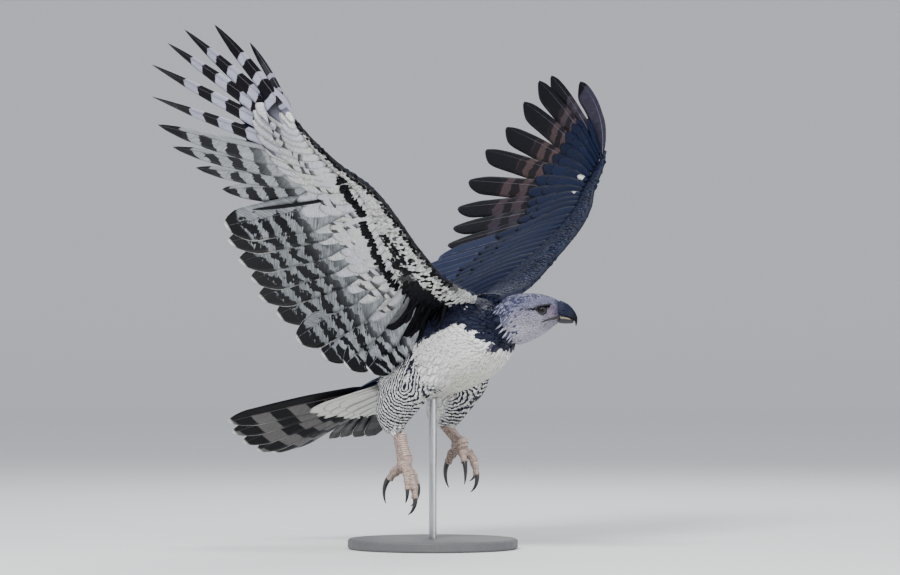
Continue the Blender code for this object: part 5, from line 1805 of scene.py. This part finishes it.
BEAK_PARTS = (
    ("upper", UPPER_BEAK, 44, 1.0, beak_material),
    ("lower", LOWER_BEAK, 26, 0.0, lower_beak_material),
)
beak = {}
for half, sections, steps, pinch, paint in BEAK_PARTS:
    form = beak_half(sections, steps, pinch)
    beak[half] = placed(f"beak_{half}_horn", form, HEAD_POSE, paint(), "beak_horn", "beak_" + half)
for side in SIDES.values():
    hole = bmesh.new()
    bmesh.ops.create_uvsphere(hole, u_segments=20, v_segments=12, radius=1.0)
    forward, out, high = NOSTRIL_PLACE
    place = HEAD_POSE @ Matrix.Translation(at(forward, side * out, high))
    place = place @ Matrix.Rotation(-NOSTRIL_LEAN, 4, "X")
    bmesh.ops.transform(hole, matrix=place @ Matrix.Diagonal((*NOSTRIL_SIZE, 1.0)), verts=hole.verts)
    cut_from(beak["upper"], hole)
beak["upper"].data.shade_smooth()

# %% [markdown]
# ## Eyes, lids and brow
# Each eye is a clear ball with a dark brown ring round a round black pupil. Two bare lids close in
# on it and a heavy ridge of small dark feathers hangs over it, which gives the bird its frown.
# %% Eyes
EYE_RADIUS, EYE_OUT = 0.0115, 0.0310
EYE_AHEAD = radians(24.0)


def eye_material():
    made = Finish("eye", 0.12, Coat_Weight=0.0, Specular_IOR_Level=0.22)
    around, along = made.vane()
    rays = made.noise(1.0, made.vector(around * 60.0, along * 8.0), 3.0)
    brown = rays.mix((0.006, 0.003, 0.002), (0.022, 0.011, 0.007))
    iris = along.step(0.225, 0.260).mix(brown, (0.012, 0.009, 0.009))
    made.set("Base Color", along.step(0.078, 0.088).mix((0.002, 0.002, 0.003), iris))
    made.bump(rays, 0.0002, 0.2)
    return made.material


EYE_GLASS = eye_material()
CIRCLE = round_turns(40)
for side_name, side in SIDES.items():
    rings = []
    for turn in np.linspace(0, pi, 25)[1:-1]:
        ring = np.stack([np.full(40, cos(turn)), np.cos(CIRCLE) * sin(turn), np.sin(CIRCLE) * sin(turn)], 1)
        rings.append(ring * EYE_RADIUS)
    aim = Matrix.Rotation(-side * EYE_AHEAD, 4, "Z") @ Matrix.Rotation(0.0 if side > 0 else pi, 4, "Z")
    pose = HEAD_POSE @ Matrix.Translation((side * EYE_OUT, 0, 0)) @ aim
    placed("eye_ball_" + side_name, tube(rings), pose, EYE_GLASS, "eye", "eye_" + side_name)


# %% Lids, brow and gape
def strip(points, widths, heights, across, count=12):
    """A soft ridge along points: width and height at each, and which way is across."""
    points = np.asarray(points, float)
    along = unit(np.gradient(points, axis=0))
    turn, rings = round_turns(count), []
    for point, way, side_way, wide, high in zip(points, along, across, widths, heights):
        side_way = unit(side_way - (side_way @ way) * way)
        up = np.cross(way, side_way)
        rings.append(point + np.cos(turn)[:, None] * side_way * wide + np.sin(turn)[:, None] * up * high)
    return tube(rings)


def bare_skin(name, colour, second, roughness, scale):
    made = Finish(name, roughness)
    grain = made.noise(scale, detail=4.0)
    made.set("Base Color", grain.step(0.35, 0.65).mix(colour, second))
    made.set("Roughness", roughness - 0.1 + grain * 0.2)
    made.bump(grain, 0.0006, 0.7)
    return made.material


HEAD_SURFACE = part_trees[PART_NAMES.index("head")]


def on_head(forward, side, high, lift=0.0):
    """A point of the head's surface seen from one side, in the head's frame."""
    start = HEAD_IN_BIRD @ at(forward, side * 0.09, high)
    way = (HEAD_IN_BIRD.to_3x3() @ Vector((-side, 0, 0))).normalized()
    spot = HEAD_SURFACE.ray_cast(start, way, 0.2)[0]
    spot = HEAD_FROM_BIRD @ spot if spot else at(forward, side * 0.012, high)
    return np.array(spot) + np.array((side * lift, 0, 0))


LID_SKIN = bare_skin("lids", (0.005, 0.005, 0.007), (0.020, 0.019, 0.025), 0.55, 700.0)
BROW_SKIN = bare_skin("brow_skin", (0.010, 0.010, 0.014), (0.026, 0.027, 0.036), 0.62, 600.0)
GAPE_SKIN = bare_skin("gape_skin", (0.006, 0.006, 0.007), (0.020, 0.016, 0.018), 0.45, 500.0)
# Lids: half length, heights above and below the middle, and half thickness outwards and across
LID_LONG, LID_TALL, LID_LOW, LID_THICK, LID_WIDE = 0.0098, 0.0066, 0.0074, 0.0014, 0.0021
BROW_OUT, BROW_CURVE = 0.0395, 9.0
BROW_LINE = (
    (-0.0150, 0.0055), (-0.0090, 0.0090), (-0.0033, 0.0110), (0.0035, 0.0122), (0.0098, 0.0131),
    (0.0170, 0.0138), (0.0235, 0.0138),
)
GAPE_LINE = ((0.0020, -0.0262), (0.0100, -0.0232), (0.0180, -0.0208), (0.0270, -0.0186), (0.0370, -0.0170))


def lids_form(side):
    """A soft ring on the eyeball, round the part of it that shows."""
    centre = np.array(at(0.0, side * EYE_OUT, 0.0))
    lid = []
    for turn in np.linspace(0, 2 * pi, 41)[:-1]:
        ahead, high = cos(turn) * LID_LONG, sin(turn) * (LID_TALL if sin(turn) > 0 else LID_LOW)
        reach = (EYE_RADIUS * EYE_RADIUS - ahead * ahead - high * high) ** 0.5
        lid.append(centre + np.array(at(ahead, side * reach, high)))
    ways = unit(np.roll(lid, -1, 0) - np.roll(lid, 1, 0))
    bm, turns, rows = bmesh.new(), round_turns(10)[:, None], []
    for point, way in zip(lid, ways):
        away = unit(point - centre)
        ring = point + np.cos(turns) * away * LID_THICK + np.sin(turns) * np.cross(way, away) * LID_WIDE
        rows.append([bm.verts.new(corner) for corner in ring])
    for row, following in zip(rows, rows[1:] + rows[:1]):
        for n in range(10):
            bm.faces.new((row[n], row[(n + 1) % 10], following[(n + 1) % 10], following[n]))
    bmesh.ops.recalc_face_normals(bm, faces=bm.faces)
    return bm


def line_on_head(line, side, lift):
    """Points a little above the head along a line of places ahead of the eyes and above them."""
    points = smooth_curve([at(forward, 0.0, high) for forward, high in line], np.linspace(0, 1, 21))
    return np.array([on_head(-point[1], side, point[2], lift) for point in points])


for side_name, side in SIDES.items():
    outward = np.tile((side, 0.0, 0.0), (21, 1))
    placed("lids_" + side_name, lids_form(side), HEAD_POSE, LID_SKIN, "eye")
    spots = line_on_head(BROW_LINE, side, 0.0030)
    spots[:, 0] = side * np.maximum(np.abs(spots[:, 0]), BROW_OUT - BROW_CURVE * np.abs(spots[:, 1]) ** 1.5)
    bulge = np.sin(np.linspace(0.08, 0.97, 21) * pi) ** 0.8 + 0.10
    ridge = strip(spots, 0.0052 * bulge, 0.0024 * bulge, outward)
    placed("brow_" + side_name, ridge, HEAD_POSE, BROW_SKIN, "grey_head")
    spots = line_on_head(GAPE_LINE, side, 0.0012)
    lips = strip(spots, np.linspace(0.0022, 0.0030, 21), np.linspace(0.0014, 0.0034, 21), outward)
    placed("gape_" + side_name, lips, HEAD_POSE, GAPE_SKIN, "beak_horn")

# %% [markdown]
# ## Legs, feet and claws
# The bare part of each leg and its four toes are one form: a stout shank, a pad and four toes with
# swollen joints, smoothed together. Broad shields cover the front of the shank and the tops of the
# toes, fine beads of skin cover the rest, and each claw is a long black hook, flat underneath.
# %% Shanks and toes
TARSUS = {
    RIGHT: (
        ((-0.1935, -0.195), (-0.2275, -0.198), 0.0885, 0.0150),
        ((-0.198, -0.225), (-0.231, -0.225), 0.0895, 0.0140),
        ((-0.197, -0.252), (-0.235, -0.252), 0.0900, 0.0165),
    ),
    LEFT: (
        ((-0.188, -0.178), (-0.222, -0.165), 0.0815, 0.0150),
        ((-0.176, -0.206), (-0.212, -0.190), 0.0825, 0.0145),
        ((-0.160, -0.222), (-0.200, -0.214), 0.0820, 0.0165),
    ),
}
TOES = (
    ("middle", 2, (0.028, 0.028, 0.026), 0.0105, 0.048),
    ("outer", 34, (0.022, 0.019, 0.018), 0.0095, 0.040),
    ("inner", -34, (0.026, 0.024), 0.0115, 0.056),
    ("hind", 176, (0.027, 0.024), 0.0120, 0.064),
)
GRASP = {RIGHT: (54, 30, 15), LEFT: (30, 34, 24)}
PAD = ((0.010, 1.10), (0.024, 0.92), (0.033, 0.55))
CLAW_CURL = radians(72.0)
FOOT_VOXEL = 0.0014


def walk(start, heading, down, pitches, lengths):
    """Points along a toe that bends down at every joint."""
    points = [np.array(start)]
    for pitch, length in zip(pitches, lengths):
        points.append(points[-1] + (heading * cos(pitch) + down * sin(pitch)) * length)
    return np.array(points)


def hoops_along(line, sizes, across, count, flank, top, foot):
    """Rings round a line: their width, and their reach above and below, for each unit of size."""
    turn, rings = round_turns(count), []
    rise = np.where(np.cos(turn) > 0, top, foot) * np.cos(turn)
    for point, way, size in zip(line, unit(np.gradient(line, axis=0)), sizes):
        below = np.cross(across, way)
        rings.append(point + np.outer(np.sin(turn), across) * size * flank + np.outer(rise, below) * size)
    return rings


def toe_form(points, radius, across):
    """A toe with a swelling at each joint and a round end."""
    shares = np.linspace(0, 1, 9 * (len(points) - 1) + 1)
    line = smooth_curve(points, shares)
    beat = shares * (len(points) - 1)
    radii = radius * (1 - 0.30 * shares) * (0.90 + 0.12 * np.cos(beat * 2 * pi) * (shares > 0.02))
    rings = hoops_along(line, radii, across, 20, 0.92, 1.10, 0.96)
    cap = unit(line[-1] - line[-2])
    rings.append(rings[-1] * 0.55 + (line[-1] + cap * radii[-1] * 0.5) * 0.45)
    return tube(rings)


def claw_form(points, radius, across):
    """A hook, round on top and flat underneath."""
    shares = np.linspace(0, 1, 22)
    sizes = radius * (1 - shares) ** 0.75 + 0.0004
    return tube(hoops_along(smooth_curve(points, shares), sizes, across, 16, 0.86, 0.78, 1.12))


def leg_material():
    made = Finish("scaled_skin", 0.55)
    row, bead_size = made.attribute("shield", 1), {"Vector": made.place(), "Scale": 270.0}
    count, front = row.part(0), row.part(1)
    beads = made.node("TexVoronoi", {"feature": "DISTANCE_TO_EDGE"}, bead_size)
    tone = made.node("TexVoronoi", None, bead_size, 1).part(0)
    soft = made.noise(60.0)
    bead = beads.step(0.0, 0.16)
    ring = (count * (2 * pi)).maths("COSINE").step(-0.98, -0.60)
    plates = front.step(0.35, 0.60)
    relief = plates * ring + (1.0 - plates) * bead
    warm = (tone * 0.6 + soft * 0.4).mix((0.36, 0.245, 0.200), (0.70, 0.56, 0.48))
    groove = relief.mix((0.13, 0.075, 0.060), warm)
    made.set("Base Color", groove)
    made.set("Roughness", 0.62 - relief * 0.16)
    made.bump(relief, 0.0018, 1.0)
    return made.material


def claw_material():
    made = Finish("claw_horn", 0.28, Coat_Weight=0.2)
    around, along = made.vane()
    grain = made.noise(1.0, made.vector(along * 3.0, around * 40.0))
    black = grain.mix((0.006, 0.006, 0.007), (0.030, 0.028, 0.030))
    made.set("Base Color", (along + grain * 0.06).step(0.03, 0.10).mix((0.10, 0.075, 0.065), black))
    made.set("Roughness", 0.24 + grain * 0.18)
    made.bump(grain, 0.0005, 0.5)
    return made.material


LEG_SKIN, CLAW_HORN = leg_material(), claw_material()
upright = BIRD_POSE.to_3x3().inverted()
DOWN, AHEAD = np.array(upright @ Vector((0, 0, -1))), np.array(upright @ Vector((0, -1, 0)))
for side_name, side in SIDES.items():
    outward = np.array(upright @ Vector((side, 0, 0)))
    shares, (fronts, rears, outs, widths) = np.linspace(0, 1, 9), zip(*TARSUS[side])
    tops = smooth_curve([at(front[0], side * out, front[1]) for front, out in zip(fronts, outs)], shares)
    backs = smooth_curve([at(rear[0], side * out, rear[1]) for rear, out in zip(rears, outs)], shares)
    halves = smooth_curve(widths, shares)
    shank = [oval(front, back, half) for front, back, half in zip(tops, backs, halves)]
    sole = shank[-1]
    middle = sole.mean(0)
    for depth, swell in PAD:
        shank.append(middle + (sole - middle) * swell + DOWN * depth)
    axes, forms = [(tops * 0.5 + backs * 0.5, unit(tops - backs).mean(0), 190.0)], [tube(shank)]
    front_pitch, hind_pitch, bend = GRASP[side]
    for toe, turn_out, lengths, radius, claw in TOES:
        turn = radians(turn_out)
        heading = AHEAD * cos(turn) + outward * sin(turn)
        first = hind_pitch if toe == "hind" else front_pitch
        pitches = [radians(first + bend * k) for k in range(len(lengths))]
        points = walk(middle + DOWN * 0.018 + heading * 0.004, heading, DOWN, pitches, lengths)
        across = np.cross(heading, DOWN)
        forms.append(toe_form(points, radius * 1.18, across))
        axes.append((points, np.cross(unit(points[-1] - points[0]), across), 300.0))
        aim = unit(points[-1] - points[-2])
        bends = [pitches[-1] + CLAW_CURL * (k + 0.5) / 8 for k in range(8)]
        path = walk(points[-1] + aim * 0.0002, heading, DOWN, bends, [claw / 8] * 8)
        hook = claw_form(path, radius * 0.60, across)
        claw_name = f"claw_{toe}_{side_name}"
        placed(claw_name + "_horn", hook, BIRD_POSE, CLAW_HORN, "claw_horn", claw_name)
    form = remeshed(joined(forms), FOOT_VOXEL, 6)
    places = np.array([vert.co for vert in form.verts])
    normals = np.array([vert.normal for vert in form.verts])
    best, count, front = np.full(len(places), 1e9), np.zeros(len(places)), np.zeros(len(places))
    for line, facing, per_metre in axes:
        run = np.concatenate([[0], np.cumsum(np.linalg.norm(np.diff(line, axis=0), axis=1))])
        for k, (start, end) in enumerate(zip(line, line[1:])):
            t, gap = line_share(places, start, end)
            nearer = gap < best
            best = np.where(nearer, gap, best)
            count = np.where(nearer, (run[k] + t * (run[k + 1] - run[k])) * per_metre, count)
            front = np.where(nearer, normals @ facing, front)
    mesh = mesh_of(form, "leg_" + side_name)
    shield = mesh.attributes.new("shield", "FLOAT_VECTOR", "POINT")
    shield.data.foreach_set("vector", np.stack([count, front, 0 * front], 1).astype(np.float32).ravel())
    mesh.transform(BIRD_POSE)
    finished("leg_" + side_name, mesh, LEG_SKIN, "leg_skin", "tarsus_" + side_name, "foot_" + side_name)

# %% [markdown]
# ## The stand
# The stand stays as its solids are. Its base gets a fine speckled paint and its rod brushed steel.
# %% Paint and steel
def painted_base():
    made = Finish("painted_base", 0.55)
    speck, soft = made.noise(900.0, detail=2.0), made.noise(14.0)
    paint = soft.mix((0.105, 0.108, 0.112), (0.135, 0.138, 0.142))
    made.set("Base Color", speck.step(0.60, 0.70).mix(paint, (0.19, 0.19, 0.195)))
    made.set("Roughness", 0.46 + speck * 0.22)
    made.bump(speck, 0.0003, 0.4)
    return made.material


def brushed_steel():
    made = Finish("brushed_steel", 0.32, Metallic=1.0)
    scale = made.node("VectorMath", {"operation": "MULTIPLY"}, {0: made.place(), 1: (900.0, 900.0, 6.0)})
    grain = made.noise(1.0, scale, 2.0)
    made.set("Base Color", grain.mix((0.46, 0.47, 0.49), (0.66, 0.67, 0.69)))
    made.set("Roughness", 0.24 + grain * 0.18)
    made.bump(grain, 0.0002, 0.3)
    return made.material


for node_name, material in (("stand_base", painted_base()), ("stand_rod", brushed_steel())):
    node = bpy.data.objects[node_name]
    node.data.materials.clear()
    node.data.materials.append(material)
    print(node_name, "keeps its solid form")
